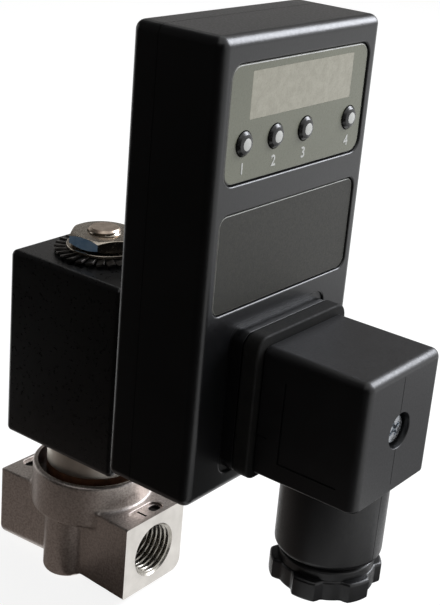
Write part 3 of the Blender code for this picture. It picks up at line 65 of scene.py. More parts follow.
body_low, body_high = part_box("valve_body")
ARM_WIDTH = 0.0208
ARM_WAIST = 0.0182
ARM_HEIGHT = 0.0189
ARM_EDGE = 0.0004
ARM_ROUND = 0.003
ARM_REAR_EDGE = 0.0009
UPPER_BOSS_RADIUS = body_high.x
UPPER_BOSS_FOOT = 0.0052
BOSS_EDGE = 0.0007
PILLAR_RADIUS = 0.0057
PILLAR_PLACE = 0.0077
PILLAR_FOOT = -0.01055
PILLAR_EDGE = 0.0014
FOOT_RADIUS = 0.008
FOOT_EDGE = 0.0012
UPPER_HOLLOW = 0.0011
LOWER_HOLLOW = 0.0012
STEP_HOLLOW = 0.0004
SKIN_STEP = 0.00036
SKIN_MARGIN = 0.001
SHARP_TURN = radians(32)
TRIM_REACH = 0.02
PORT_FACE = body_high.y
PORT_DEPTH = 0.0115
THREAD_ROOT = 0.0066
THREAD_CREST = 0.00575
THREAD_PITCH = 0.001337
THREAD_RUNOUT = 0.003
PORT_MOUTH = 0.0068
MOUTH_BEVEL = 0.0002
PASSAGE_RADIUS = 0.0018
INLET_RISE = 0.006
ORIFICE_RADIUS = 0.0013
RIM_RADIUS = 0.0132
RIM_DEPTH = 0.0034
CHAMBER_RADIUS = 0.009
CHAMBER_FLOOR = 0.0045
SEAT_RADIUS = 0.003
SEAT_TOP = 0.006
SLOT_LENGTH = 0.0098
SLOT_WIDTH = 0.0036
SLOT_DEPTH = 0.0006
SLOT_SETBACK = 0.0032
SLOT_LIP = 0.0003
PIT_PLACE = 0.003
PIT_LENGTH = 0.003
PIT_WIDTH = 0.0022
PIT_DEPTH = 0.0007
ROUND_END = 1 / 2.1
NUMERAL_SIZE = 0.0038
NUMERAL_PLACE = -0.0013
NUMERAL_DEPTH = 0.0004
NUMERAL_BOLD = 0.00012
OVER = 0.001  # by which a tool runs past what it cuts
TOUCH = 0.00005  # within which a face counts as lying on a surface
MARK_EDGE = 0.00002
CORNERS = ((1, -1), (1, 1), (-1, 1), (-1, -1))
WAVE_LENGTH = 0.314  # of one wave of a wave pattern at scale 1


def linear(code):
    """A shader colour from its sRGB hex code."""
    parts = [int(code[i : i + 2], 16) / 255 for i in (1, 3, 5)]
    return (*(p / 12.92 if p <= 0.04045 else ((p + 0.055) / 1.055) ** 2.4 for p in parts), 1.0)


def add_node(material, kind, inputs=None, **settings):
    """One shader node, with its settings and with its inputs set or linked."""
    node = material.node_tree.nodes.new("ShaderNode" + kind)
    for key, value in settings.items():
        setattr(node, key, value)
    for key, value in (inputs or {}).items():
        if isinstance(value, bpy.types.NodeSocket):
            material.node_tree.links.new(value, node.inputs[key])
        else:
            node.inputs[key].default_value = value
    return node


def grained(name, dark, light, patch, grit, gloss, relief, **sockets):
    """A material of two close colours that drift over a patch size, with grit in its gloss and relief."""
    material = bpy.data.materials.new(name)
    material.use_nodes = True
    links = material.node_tree.links
    shader = material.node_tree.nodes["Principled BSDF"]
    for key, value in sockets.items():
        shader.inputs[key.replace("_", " ")].default_value = value
    place = add_node(material, "TexCoord").outputs["Object"]
    drift = add_node(material, "TexNoise", {"Vector": place, "Scale": 1 / patch, "Detail": 3.0})
    grains = add_node(material, "TexNoise", {"Vector": place, "Scale": 1 / grit, "Detail": 2.0})
    share = add_node(material, "MapRange", {"Value": drift.outputs[0], "From Min": 0.35, "From Max": 0.65})
    colours = {0: share.outputs[0], 6: linear(dark), 7: linear(light)}
    tint = add_node(material, "Mix", colours, data_type="RGBA")
    links.new(tint.outputs[2], shader.inputs["Base Color"])
    polish = {"Value": grains.outputs[0], "From Min": 0.3, "From Max": 0.7}
    polish |= {"To Min": gloss[0], "To Max": gloss[1]}
    links.new(add_node(material, "MapRange", polish).outputs[0], shader.inputs["Roughness"])
    bump = add_node(material, "Bump", {"Height": grains.outputs[0], "Distance": relief, "Strength": 1.0})
    links.new(bump.outputs[0], shader.inputs["Normal"])
    return material


def toolmarks(material, axis, pitch, relief):
    """Turning marks round an axis, laid over a material's own relief."""
    shader = material.node_tree.nodes["Principled BSDF"]
    place = add_node(material, "TexCoord").outputs["Object"]
    cut = {"Vector": place, "Scale": WAVE_LENGTH / pitch}
    cut |= {"Distortion": 0.6, "Detail": 2.0, "Detail Scale": 3.0}
    rings = add_node(material, "TexWave", cut, wave_type="RINGS", rings_direction=axis)
    under = shader.inputs["Normal"].links[0].from_socket
    marks = {"Height": rings.outputs[1], "Distance": relief, "Strength": 1.0, "Normal": under}
    material.node_tree.links.new(add_node(material, "Bump", marks).outputs[0], shader.inputs["Normal"])


def add_piece(name, bm, material, place=Matrix()):
    """One object in the scene from a closed bmesh, set down at a place."""
    bm.transform(place)
    bmesh.ops.recalc_face_normals(bm, faces=bm.faces)
    mesh = bpy.data.meshes.new(name)
    bm.to_mesh(mesh)
    bm.free()
    piece = bpy.data.objects.new(name, mesh)
    bpy.context.scene.collection.objects.link(piece)
    mesh.materials.append(material)
    return piece


def carve(piece, tool, place=Matrix(), operation="DIFFERENCE"):
    """Cut, join or trim a piece with a tool body at a place, which is then thrown away."""
    helper = add_piece("tool", tool, piece.active_material, place)
    boolean = piece.modifiers.new("carve", "BOOLEAN")
    boolean.operation = operation
    boolean.solver = "MANIFOLD"
    boolean.object = helper
    solved = piece.evaluated_get(bpy.context.evaluated_depsgraph_get())
    shape = bpy.data.meshes.new_from_object(solved)
    piece.modifiers.clear()
    old = piece.data
    piece.data = shape
    bpy.data.meshes.remove(old)
    bpy.data.objects.remove(helper)


def paint(piece, finish_of):
    """Give each face of a piece the finish that a rule picks for it."""
    finishes = piece.data.materials
    for face in piece.data.polygons:
        finish = finish_of(face)
        if finish.name not in finishes:
            finishes.append(finish)
        face.material_index = finishes.find(finish.name)


def seat(piece, slot, *nodes, body="valve"):
    """Shade a finished piece, and let it ride a body in the place of its solids."""
    piece.data.shade_smooth()
    piece.data.set_sharp_from_angle(angle=SHARP_TURN)
    piece.modifiers.new("even_shading", "WEIGHTED_NORMAL").keep_sharp = True
    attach(piece, body)
    if nodes:
        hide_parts(*nodes)


def eased(points, steps=5):
    """An outline whose points may carry a fillet radius as a third value."""
    outline = []
    for k, point in enumerate(points):
        corner = Vector(point[:2])
        if len(point) == 2:
            outline.append(tuple(corner))
            continue
        back = (Vector(points[k - 1][:2]) - corner).normalized()
        ahead = (Vector(points[(k + 1) % len(points)][:2]) - corner).normalized()
        half = back.angle(ahead) / 2
        centre = corner + (back + ahead).normalized() * point[2] / sin(half)
        first = corner + back * point[2] / tan(half) - centre
        last = corner + ahead * point[2] / tan(half) - centre
        sweep = pi - 2 * half
        for step in range(steps + 1):
            near = sin((1 - step / steps) * sweep) / sin(sweep)
            far = sin(step / steps * sweep) / sin(sweep)
            outline.append(tuple(centre + near * first + far * last))
    return outline


def turned(points, steps=96):
    """A body turned about z from (radius, height) points; an outline off the axis is closed on itself."""
    bm = bmesh.new()
    verts = [bm.verts.new((radius, 0, height)) for radius, height in eased(points)]
    edges = [bm.edges.new(pair) for pair in zip(verts, verts[1:])]
    if points[0][0] > 0:
        edges.append(bm.edges.new((verts[-1], verts[0])))
    lathe = {"cent": (0, 0, 0), "axis": (0, 0, 1), "angle": 2 * pi, "steps": steps, "use_merge": True}
    bmesh.ops.spin(bm, geom=verts + edges, **lathe)
    bmesh.ops.remove_doubles(bm, verts=bm.verts, dist=1e-7)
    return bm


def turned_solid(points, steps=96):
    """A turned body that is closed to its axis at both ends."""
    return turned([(0, points[0][1]), *points, (0, points[-1][1])], steps)


def rod(radius, start, end, at=(0, 0), steps=48):
    """A plain round tool along z."""
    bm = turned_solid([(radius, start), (radius, end)], steps)
    bm.transform(Matrix.Translation((*at, 0)))
    return bm


def loft(rings):
    """One closed body through a stack of rings, each a list of (x, y) points and a height."""
    bm = bmesh.new()
    loops = [[bm.verts.new((x, y, z)) for x, y in points] for points, z in rings]
    for low, high in zip(loops, loops[1:]):
        for i, vert in enumerate(low):
            j = (i + 1) % len(low)
            bm.faces.new((vert, low[j], high[j], high[i]))
    bm.faces.new(loops[0][::-1])
    bm.faces.new(loops[-1])
    return bm


def threaded_rod(crest, root, pitch, start, end, point=0.0, steps=72, rows_each_turn=10):
    """A rod along z with a rounded thread, and a chamfer at its end where a point length is given."""
    rows = int(round((end - start) / pitch * rows_each_turn))
    rings = []
    for row in range(rows + 1):
        height = start + (end - start) * row / rows
        limit = crest - max(0.0, height - end + point)
        ring = []
        for step in range(steps):
            angle = 2 * pi * step / steps
            wave = cos(2 * pi * height / pitch - angle)
            radius = min(limit, (crest + root) / 2 + (crest - root) / 2 * wave)
            ring.append((radius * cos(angle), radius * sin(angle)))
        rings.append((ring, height))
    return loft(rings)


def rounded_gap(gaps, radius):
    """Distance to a rounded form, from the gaps to its flat sides."""
    outside = np.linalg.norm(np.maximum(gaps, 0), axis=0)
    return outside + np.minimum(np.max(gaps, axis=0), 0) - radius


def boss_gap(x, y, z, radius, foot, top, edge):
    """Distance to an upright round boss with rounded ends."""
    sides = np.hypot(x, y) - radius + edge
    ends = np.abs(z - (foot + top) / 2) - (top - foot) / 2 + edge
    return rounded_gap(np.stack([sides, ends]), edge)


def blended(a, b, hollow):
    """Two forms joined with a soft hollow between them."""
    near = np.maximum(hollow - np.abs(a - b), 0) / hollow
    return np.minimum(a, b) - near**2 * hollow / 4


def casting_gap(x, y, z):
    """Distance to the casting: a bar of two drafted arms, and a boss on two pillars and a round foot."""
    radius = np.where((z < 0) & (x * y < 0), ARM_ROUND, ARM_EDGE)
    sides = np.abs(x) - ARM_WAIST / 2 - (ARM_WIDTH - ARM_WAIST) / 2 * np.abs(y) / PORT_FACE + radius
    ends = np.abs(z) - ARM_HEIGHT / 2 + radius
    arms = rounded_gap(np.stack([sides, ends]), radius) + ARM_REAR_EDGE
    reach = np.where(y > 0, y - PORT_FACE, -y - PORT_FACE - OVER) + ARM_REAR_EDGE
    arms = rounded_gap(np.stack([arms, reach]), ARM_REAR_EDGE)
    upper = boss_gap(x, y, z, UPPER_BOSS_RADIUS, UPPER_BOSS_FOOT, body_high.z, BOSS_EDGE)
    beside = np.abs(x) - PILLAR_PLACE
    pillars = boss_gap(beside, y, z, PILLAR_RADIUS, PILLAR_FOOT, UPPER_BOSS_FOOT + PILLAR_EDGE, PILLAR_EDGE)
    foot = boss_gap(x, y, z, FOOT_RADIUS, body_low.z, 0, FOOT_EDGE)
    bosses = blended(upper, np.minimum(pillars, foot), STEP_HOLLOW)
    hollow = np.where(z > UPPER_BOSS_FOOT, UPPER_HOLLOW, LOWER_HOLLOW)
    return np.maximum(blended(arms, bosses, hollow), body_low.z - z)


def skin(name, form, low, high, step):
    """A quad skin on a form: a point in each cell that it crosses, and a face over each crossed edge."""
    counts = [int((b - a) / step) + 2 for a, b in zip(low, high)]
    axes = [a + step * np.arange(n) for a, n in zip(low, counts)]
    inside = form(*np.meshgrid(*axes, indexing="ij")) < 0
    corners = [(i, j, k) for i in (0, 1) for j in (0, 1) for k in (0, 1)]
    a, b, c = [n - 1 for n in counts]
    filled = sum(inside[i : a + i, j : b + j, k : c + k].astype(int) for i, j, k in corners)
    crossed = (filled > 0) & (filled < 8)
    number = np.full(crossed.shape, -1)
    number[crossed] = np.arange(crossed.sum())
    points = np.stack([axis[at] + step / 2 for axis, at in zip(axes, np.nonzero(crossed))])
    nudge = step / 50
    for _ in range(4):
        gap = form(*points)
        shifts = nudge * np.eye(3)[:, :, None]
        slope = np.stack([(form(*(points + shift)) - gap) / nudge for shift in shifts])
        points = points - gap * slope / np.maximum((slope**2).sum(0), 0.25)
    faces = []
    for axis in range(3):
        order = (axis, (axis + 1) % 3, (axis + 2) % 3)
        solid = np.transpose(inside, order)
        cells = np.transpose(number, order)
        near = solid[:-1, 1:-1, 1:-1]
        far = solid[1:, 1:-1, 1:-1]
        around = [cells[:, :-1, :-1], cells[:, 1:, :-1], cells[:, 1:, 1:], cells[:, :-1, 1:]]
        ring = np.stack(around, axis=-1)
        faces += ring[near & ~far].tolist() + ring[~near & far][:, ::-1].tolist()
    mesh = bpy.data.meshes.new(name)
    mesh.from_pydata(points.T.tolist(), [], faces)
    piece = bpy.data.objects.new(name, mesh)
    bpy.context.scene.collection.objects.link(piece)
    return piece


def rounded_rectangle(width, height, corner, middle, steps):
    """An outline with four round corners."""
    points = eased([(x * width / 2, y * height / 2, corner) for x, y in CORNERS], steps)
    return [(x + middle[0], y + middle[1]) for x, y in points]


def edge_round(radius, steps=6):
    """Insets and rises of a quarter-round edge, from the end face to the side."""
    turns = [step / steps * pi / 2 for step in range(steps + 1)] if radius else [pi / 2]
    return [(radius * (1 - sin(turn)), radius * (1 - cos(turn))) for turn in turns]


def lipped_bed(width, height, floor, face, corner, lip, middle=(0, 0)):
    """A tool for a sunk bed whose upper edge is eased outwards into a small round lip."""
    levels = [(grow, face - drop) for grow, drop in edge_round(lip, 5)[::-1]]
    rings = []
    for grow, z in [(0, floor), *levels, (lip, face + OVER)]:
        outline = rounded_rectangle(width + 2 * grow, height + 2 * grow, corner + grow, middle, 8)
        rings.append((outline, z))
    return loft(rings)


def figures(text, size, rise, bold):
    """A row of plain figures as one raised body on z = 0, set out about its middle."""
    curve = bpy.data.curves.new("figures", "FONT")
    curve.body = text
    curve.size = size
    curve.align_x = "CENTER"
    curve.align_y = "CENTER"
    curve.extrude = rise / 2
    curve.offset = bold
    curve.resolution_u = 4
    letter = bpy.data.objects.new("figures", curve)
    bpy.context.scene.collection.objects.link(letter)
    bm = bmesh.new()
    bm.from_mesh(letter.evaluated_get(bpy.context.evaluated_depsgraph_get()).to_mesh())
    bmesh.ops.remove_doubles(bm, verts=bm.verts, dist=1e-7)
    bpy.data.objects.remove(letter)
    bm.transform(Matrix.Translation((0, 0, rise / 2)))
    return bm


# Blasted stainless is a warm grey with a fine bright sparkle, drawn at 0.5 mm so that it shows.
blasted_stainless = grained(
    "blasted_cast_stainless", "#A29993", "#C4BCB6", 0.0005, 0.0005, (0.36, 0.52), 0.00006, Metallic=1.0
)
# The faced ports are lighter and keep the fine rings of the cutter, drawn at 0.35 mm so that they show.
faced_stainless = grained(
    "faced_stainless", "#CBC7C1", "#DAD6D0", 0.005, 0.0003, (0.28, 0.4), 0.000004, Metallic=1.0
)
toolmarks(faced_stainless, "Y", 0.00035, 0.000005)
# The small sunk marks, the engraved numerals and the pit, are painted a dark brownish grey.
dark_sunk_marks = grained(
    "sunk_mark_dark_grey", "#26221F", "#37322D", 0.001, 0.0003, (0.55, 0.7), 0.00001, Metallic=0.6
)
# The tapped bores are given a darker and glossier grey than the faces.
darker_bore_finish = grained(
    "darker_stainless_thread", "#98948C", "#B2AEA6", 0.002, 0.0003, (0.2, 0.32), 0.000004, Metallic=1.0
)
# Dark brown painted shade fills the chamber and the rim where the bonnet sits, and runs round the foot of the
# bonnet.
rim_gap_shade = grained("dark_brown_painted_shade", "#3E2618", "#5E3C28", 0.0018, 0.0004, (0.34, 0.5), 0.000012)

low_corner = body_low - Vector((SKIN_MARGIN,) * 3)
high_corner = body_high + Vector((SKIN_MARGIN, 2 * SKIN_MARGIN, SKIN_MARGIN))
valve = skin("valve_casting", casting_gap, low_corner, high_corner, SKIN_STEP)
valve.data.materials.append(blasted_stainless)
trim = [(x * TRIM_REACH, y * PORT_FACE) for x, y in CORNERS]
carve(valve, loft([(trim, -TRIM_REACH), (trim, TRIM_REACH)]), operation="INTERSECT")

rim_floor = body_high.z - RIM_DEPTH
chamber = [
    (SEAT_RADIUS / 2, SEAT_TOP), (SEAT_RADIUS, CHAMBER_FLOOR), (CHAMBER_RADIUS, CHAMBER_FLOOR),
    (CHAMBER_RADIUS, rim_floor), (RIM_RADIUS, rim_floor), (RIM_RADIUS, body_high.z + OVER),
]
carve(valve, turned_solid(chamber))
port_floor = PORT_FACE - PORT_DEPTH
bevel_floor = PORT_FACE - 2 * MOUTH_BEVEL
bevel_radius = PORT_MOUTH - 2 * MOUTH_BEVEL
mouth = [(bevel_radius, bevel_floor), (PORT_MOUTH, PORT_FACE), (PORT_MOUTH, PORT_FACE + OVER)]
drill_point = [(0, port_floor - PASSAGE_RADIUS), (THREAD_CREST, port_floor + OVER), (0, port_floor + OVER)]
slot_floor = ARM_HEIGHT / 2 - SLOT_DEPTH
slot_middle = SLOT_SETBACK - PORT_FACE
for side, inner_end, text in ((0.0, INLET_RISE, "1"), (pi, -PASSAGE_RADIUS, "2")):
    way = Matrix.Rotation(side, 4, "Z")
    along = way @ Matrix.Rotation(pi / 2, 4, "X")
    carve(valve, turned_solid(mouth), along)
    carve(valve, threaded_rod(THREAD_ROOT, THREAD_CREST, THREAD_PITCH, port_floor, PORT_FACE + OVER), along)
    carve(valve, turned(drill_point, 48), along)
    carve(valve, rod(PASSAGE_RADIUS, inner_end, port_floor, steps=32), along)
    on_top = way @ Matrix.Translation((0, slot_middle, 0))
    slot = (SLOT_LENGTH, SLOT_WIDTH, slot_floor, ARM_HEIGHT / 2, SLOT_WIDTH * ROUND_END, SLOT_LIP)
    carve(valve, lipped_bed(*slot), on_top)
    pit = (PIT_LENGTH, PIT_WIDTH, slot_floor - PIT_DEPTH, slot_floor, PIT_WIDTH * ROUND_END, SLOT_LIP / 2)
    carve(valve, lipped_bed(*pit, (PIT_PLACE, 0)), on_top)
    numeral = figures(text, NUMERAL_SIZE, NUMERAL_DEPTH + OVER, NUMERAL_BOLD)
    carve(valve, numeral, on_top @ Matrix.Translation((NUMERAL_PLACE, 0, slot_floor - NUMERAL_DEPTH)))
carve(valve, rod(PASSAGE_RADIUS, -PASSAGE_RADIUS, CHAMBER_FLOOR + OVER, (0, -INLET_RISE), 32))
carve(valve, rod(ORIFICE_RADIUS, 0, SEAT_TOP + OVER, steps=32))


def valve_finish(face):
    """Port faces are cut bright, bores are darker, the rim and chamber get painted shade, and the sunk marks
    are painted dark.
    """
    x, y, z = face.center
    in_slot = abs(abs(y) + slot_middle) < SLOT_WIDTH / 2 and abs(x) < SLOT_LENGTH / 2
    if abs(abs(y) - PORT_FACE) < TOUCH:
        return faced_stainless
    # The faces inside the tapped bores are given the darker grey.
    if abs(y) > port_floor - THREAD_RUNOUT and hypot(x, z) < THREAD_ROOT + TOUCH:
        return darker_bore_finish
    if abs(y) > port_floor and hypot(x, z) < PORT_MOUTH:
        return faced_stainless
    # Inside the rim and the chamber the faces are painted dark brown as shade.
    if z > CHAMBER_FLOOR - TOUCH and hypot(x, y) < RIM_RADIUS + TOUCH:
        return rim_gap_shade
    # The floors and walls of the numerals and the pit are painted dark.
    if in_slot and slot_floor - PIT_DEPTH - TOUCH < z < slot_floor - MARK_EDGE:
        return dark_sunk_marks
    return blasted_stainless


paint(valve, valve_finish)
seat(valve, "cast_nickel_steel", "valve_body")

# Guide tube
# A stainless bonnet and tube turned in one piece, screwed into the body's rim bore: the plunger slides in it.
# Only the bonnet under the coil shows.

tube_low, tube_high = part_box("guide_tube")
BONNET_RADIUS = 0.0111
BONNET_FOOT = 0.0131
BONNET_TOP = 0.0222
BONNET_EDGE = 0.0006
# Top of the painted rim shade on the bonnet.
SHADE_TOP = body_high.z + 0.0006
NECK_RADIUS = 0.0085
NECK_TOP = 0.02355
NECK_ROOT = 0.0005
TUBE_RADIUS = 0.0065
TUBE_BORE = 0.0058
SPIGOT_RADIUS = 0.0087
SPIGOT_EDGE = 0.0003
SEAL_GROOVE_FOOT = tube_low.z + 0.001
SEAL_GROOVE_TOP = SEAL_GROOVE_FOOT + 0.0022
SEAL_GROOVE_RADIUS = 0.0071

# Turned stainless is a pale warm grey with the lathe's fine rings, drawn at 0.3 mm so that they show.
turned_stainless = grained(
    "turned_stainless", "#D0CAC0", "#E0DAD0", 0.004, 0.0004, (0.36, 0.5), 0.000006, Metallic=1.0
)
toolmarks(turned_stainless, "Z", 0.0003, 0.000004)
tube_profile = [
    (TUBE_BORE, tube_low.z), (SPIGOT_RADIUS, tube_low.z, SPIGOT_EDGE), (SPIGOT_RADIUS, SEAL_GROOVE_FOOT),
    (SEAL_GROOVE_RADIUS, SEAL_GROOVE_FOOT), (SEAL_GROOVE_RADIUS, SEAL_GROOVE_TOP),
    (SPIGOT_RADIUS, SEAL_GROOVE_TOP), (SPIGOT_RADIUS, BONNET_FOOT),
    (BONNET_RADIUS, BONNET_FOOT), (BONNET_RADIUS, SHADE_TOP), (BONNET_RADIUS, BONNET_TOP, BONNET_EDGE),
    (NECK_RADIUS, BONNET_TOP, NECK_ROOT), (NECK_RADIUS, NECK_TOP, SPIGOT_EDGE),
    (TUBE_RADIUS, NECK_TOP), (TUBE_RADIUS, tube_high.z), (TUBE_BORE, tube_high.z),
]
tube = add_piece("guide_tube_turned", turned(tube_profile), turned_stainless)


def bonnet_finish(face):
    """The painted shade of the rim gap climbs a little way up the bonnet."""
    shaded = BONNET_FOOT < face.center.z < SHADE_TOP and hypot(*face.center.xy) > SPIGOT_RADIUS
    return rim_gap_shade if shaded else turned_stainless


paint(tube, bonnet_finish)
seat(tube, "turned_steel", "guide_tube")

# Plunger, seals and spring
# A ferritic stainless armature with a nitrile seat disc, held down by a small wire spring in its pocket.
# They stay out of sight inside the tube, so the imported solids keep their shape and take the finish.


def dress(material, *nodes):
    """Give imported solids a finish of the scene's own."""
    for node in nodes:
        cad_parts[node].material_slots[0].material = material


# Moulded nitrile is a soft dull black with a faint bloom.
nitrile = grained(
    "moulded_nitrile", "#0C0C0B", "#141311", 0.003, 0.0004, (0.62, 0.78), 0.000015, Specular_IOR_Level=0.22
)
# Ground ferritic steel is a plain grey, glossier than the turned bonnet and almost without marks.
ground_steel = grained(
    "ground_ferritic_steel", "#A8A6A2", "#BDBBB7", 0.006, 0.0004, (0.18, 0.28), 0.000003, Metallic=1.0
)
dress(nitrile, "bonnet_seal", "plunger_seal")
dress(ground_steel, "plunger", "plunger_spring")

# Fixed core and stud
# The pole piece that closes the tube, in plated steel, with the threaded stud on which the coil is held.
# A copper shading ring sits in its lower face.

core_low, core_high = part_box("fixed_core")
STUD_RADIUS = 0.0039
STUD_ROOT = 0.0034
STUD_PITCH = 0.001
STUD_BEVEL = 0.0007
STUD_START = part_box("coil_housing")[1].z - 0.0015
CORE_RADIUS = 0.0056
RING_INNER = 0.0036
RING_OUTER = 0.0048
RING_TOP = core_low.z + 0.0015
FIT_GAP = 0.0003
FLANGE_FOOT = tube_high.z + FIT_GAP
FLANGE_TOP = FLANGE_FOOT + 0.0022

# Nickel plate is a smooth, faintly yellow metal with small handling marks in its gloss.
nickel_plate = grained(
    "bright_nickel_plate", "#A89E91", "#C2B9AB", 0.0025, 0.0006, (0.14, 0.3), 0.000004, Metallic=1.0
)
# Plain steel at the sawn end of the stud has a brown tarnish.
tarnished_steel = grained(
    "tarnished_steel", "#B2A090", "#CBBBAB", 0.0014, 0.0003, (0.3, 0.44), 0.000008, Metallic=1.0
)
# Copper darkens quickly in the oil mist of the tube.
dull_copper = grained(
    "dull_copper", "#7A4326", "#9C5A36", 0.002, 0.0003, (0.25, 0.4), 0.000004, Metallic=1.0
)
core_profile = [
    (RING_INNER, core_low.z), (RING_INNER, RING_TOP), (RING_OUTER, RING_TOP), (RING_OUTER, core_low.z),
    (CORE_RADIUS, core_low.z), (CORE_RADIUS, FLANGE_FOOT), (TUBE_RADIUS, FLANGE_FOOT),
    (TUBE_RADIUS, FLANGE_TOP), (STUD_ROOT, FLANGE_TOP), (STUD_ROOT, STUD_START + OVER),
]
core = add_piece("fixed_core_and_stud", turned_solid(core_profile), nickel_plate)
stud = threaded_rod(STUD_RADIUS, STUD_ROOT, STUD_PITCH, STUD_START, core_high.z, STUD_BEVEL)
carve(core, stud, operation="UNION")
paint(core, lambda face: tarnished_steel if face.center.z > core_high.z - STUD_BEVEL else nickel_plate)
seat(core, "plated_steel", "fixed_core")
dress(dull_copper, "shading_ring")

# Coil windings and yoke
# Enamelled copper wire on a nylon bobbin inside a bent steel flux path, all potted in the coil housing.
# They stay out of sight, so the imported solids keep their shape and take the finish.

WIRE_PITCH = 0.0004
WIRE_GROOVE = 0.00012

# Mild steel keeps a grey mill scale.
yoke_steel = grained(
    "scaled_mild_steel", "#4A4A4C", "#5E5E60", 0.004, 0.0005, (0.4, 0.58), 0.00001, Metallic=1.0
)
# Glass-filled nylon is a dull black with a faint cloud of fibre at the surface.
glass_nylon = grained("glass_filled_nylon", "#08080A", "#0E0E10", 0.005, 0.0005, (0.34, 0.46), 0.000012)
# Turns of enamelled wire lie side by side, a reddish gloss broken by the grooves between them.
enamelled_wire = grained(
    "enamelled_copper_wire", "#8A4A22", "#A85F2E", 0.003, 0.0004, (0.2, 0.32), 0.000004, Metallic=1.0
)
lay = {"Vector": add_node(enamelled_wire, "TexCoord").outputs["Object"], "Scale": WAVE_LENGTH / WIRE_PITCH}
wraps = add_node(enamelled_wire, "TexWave", lay, wave_type="BANDS", bands_direction="Z")
grooves = {"Height": wraps.outputs[1], "Distance": WIRE_GROOVE, "Strength": 1.0}
enamelled_wire.node_tree.links.new(
    add_node(enamelled_wire, "Bump", grooves).outputs[0],
    enamelled_wire.node_tree.nodes["Principled BSDF"].inputs["Normal"],
)
dress(yoke_steel, "flux_sleeve", "flux_washer")
dress(glass_nylon, "coil_bobbin", "terminal_insert")
dress(enamelled_wire, "coil_winding")

# Coil housing
# The coil is cast in black epoxy in a square mould, with a raised square pad on the front for the plug.
# It drops over the tube and is clamped on the stud.

coil_low, coil_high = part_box("coil_housing")
COIL_FRONT = 0.0187
COIL_EDGE = 0.0014
COIL_CAVITY = 0.0126
COIL_ROOF = 0.003
PAD_SIZE = 0.027
PAD_CORNER = 0.003
PAD_EDGE = 0.0008
STUD_CLEAR = STUD_RADIUS + FIT_GAP
screw_low, screw_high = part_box("connector_screw")
PLUG_HEIGHT = (screw_low.z + screw_high.z) / 2
PLUG = Matrix.Translation((0, 0, PLUG_HEIGHT)) @ Matrix.Rotation(pi / 2, 4, "X")
BLADE_CLEAR = ((-0.009, 0, 0.0014, 0.0069), (0.009, 0, 0.0014, 0.0069), (0, 0.009, 0.0069, 0.0014))
BLADE_CORNER = 0.0002
SCREW_CLEAR = 0.0018


def soft_block(width, height, start, end, corner, start_round=0, end_round=0, middle=(0, 0), steps=6):
    """A rounded-rectangle prism along z whose two end edges may be rounded too."""
    levels = [(inset, start + rise) for inset, rise in edge_round(start_round, steps)]
    levels += [(inset, end - rise) for inset, rise in edge_round(end_round, steps)[::-1]]
    rings = []
    for inset, z in levels:
        radius = max(corner - inset, corner / 6)
        rings.append((rounded_rectangle(width - 2 * inset, height - 2 * inset, radius, middle, steps), z))
    return loft(rings)


def plug_slots(piece, start, end):
    """Clear the three plug blades and the long screw through a piece."""
    for x, y, wide, high in BLADE_CLEAR:
        carve(piece, soft_block(wide, high, start, end, BLADE_CORNER, middle=(x, y), steps=2), PLUG)
    carve(piece, rod(SCREW_CLEAR, start, end), PLUG)


# Cast epoxy is a deep black, a little glossier than the moulded shells, with faint swirls from the pour.
cast_epoxy = grained("cast_epoxy", "#040405", "#080809", 0.012, 0.0009, (0.26, 0.36), 0.000004)
coil_size = (coil_high.x - coil_low.x, coil_high.y + COIL_FRONT)
coil_middle = (0, (coil_high.y - COIL_FRONT) / 2)
block = soft_block(*coil_size, coil_low.z, coil_high.z, COIL_EDGE, COIL_EDGE, COIL_EDGE, coil_middle)
coil = add_piece("coil_casting", block, cast_epoxy)
pad = soft_block(PAD_SIZE, PAD_SIZE, COIL_FRONT - OVER, -coil_low.y, PAD_CORNER, 0, PAD_EDGE)
carve(coil, pad, PLUG, "UNION")
cavity_top = coil_high.z - COIL_ROOF
cavity = [
    (COIL_CAVITY, coil_low.z - OVER), (COIL_CAVITY, cavity_top),
    (STUD_CLEAR, cavity_top), (STUD_CLEAR, coil_high.z + OVER),
]
carve(coil, turned_solid(cavity))
plug_slots(coil, COIL_FRONT, -coil_low.y + OVER)
seat(coil, "black_epoxy", "coil_housing")
for way in ("left", "right", "earth"):
    dress(nickel_plate, f"coil_blade_{way}", f"timer_blade_{way}")

# Washers and nut on the stud
# A toothed spring washer, a plain washer and a thin hexagon nut in plated steel clamp the coil.
# The teeth are cut and twisted out of the lock washer's rim.

lock_low, lock_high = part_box("lock_washer")
LOCK_ROOT = 0.0088
LOCK_THICKNESS = 0.0006
TOOTH_COUNT = 28
TOOTH_WIDTH = 0.0018
TOOTH_TWIST = 0.3
TOOTH_START = LOCK_ROOT - 0.0008
TOOTH_CORNER = 0.00012
TOOTH_TIP = 0.0001
flat_low, flat_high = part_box("flat_washer")
WASHER_FOOT_EDGE = 0.00012
WASHER_TOP_EDGE = 0.00018
nut_low, nut_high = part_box("hex_nut")
NUT_FLATS = 0.0146
NUT_TURN = 0.56
NUT_BEVEL = 0.0006
NUT_FACE_INSET = 0.0002
NUT_THREAD_GAP = 0.0001
REFLECTION_FACING = 0.9

# Phosphated spring steel is a dull dark grey that glints only on its cut edges.
phosphated_steel = grained(
    "phosphated_spring_steel", "#4A4744", "#6C6966", 0.0012, 0.0003, (0.34, 0.5), 0.000008, Metallic=1.0
)
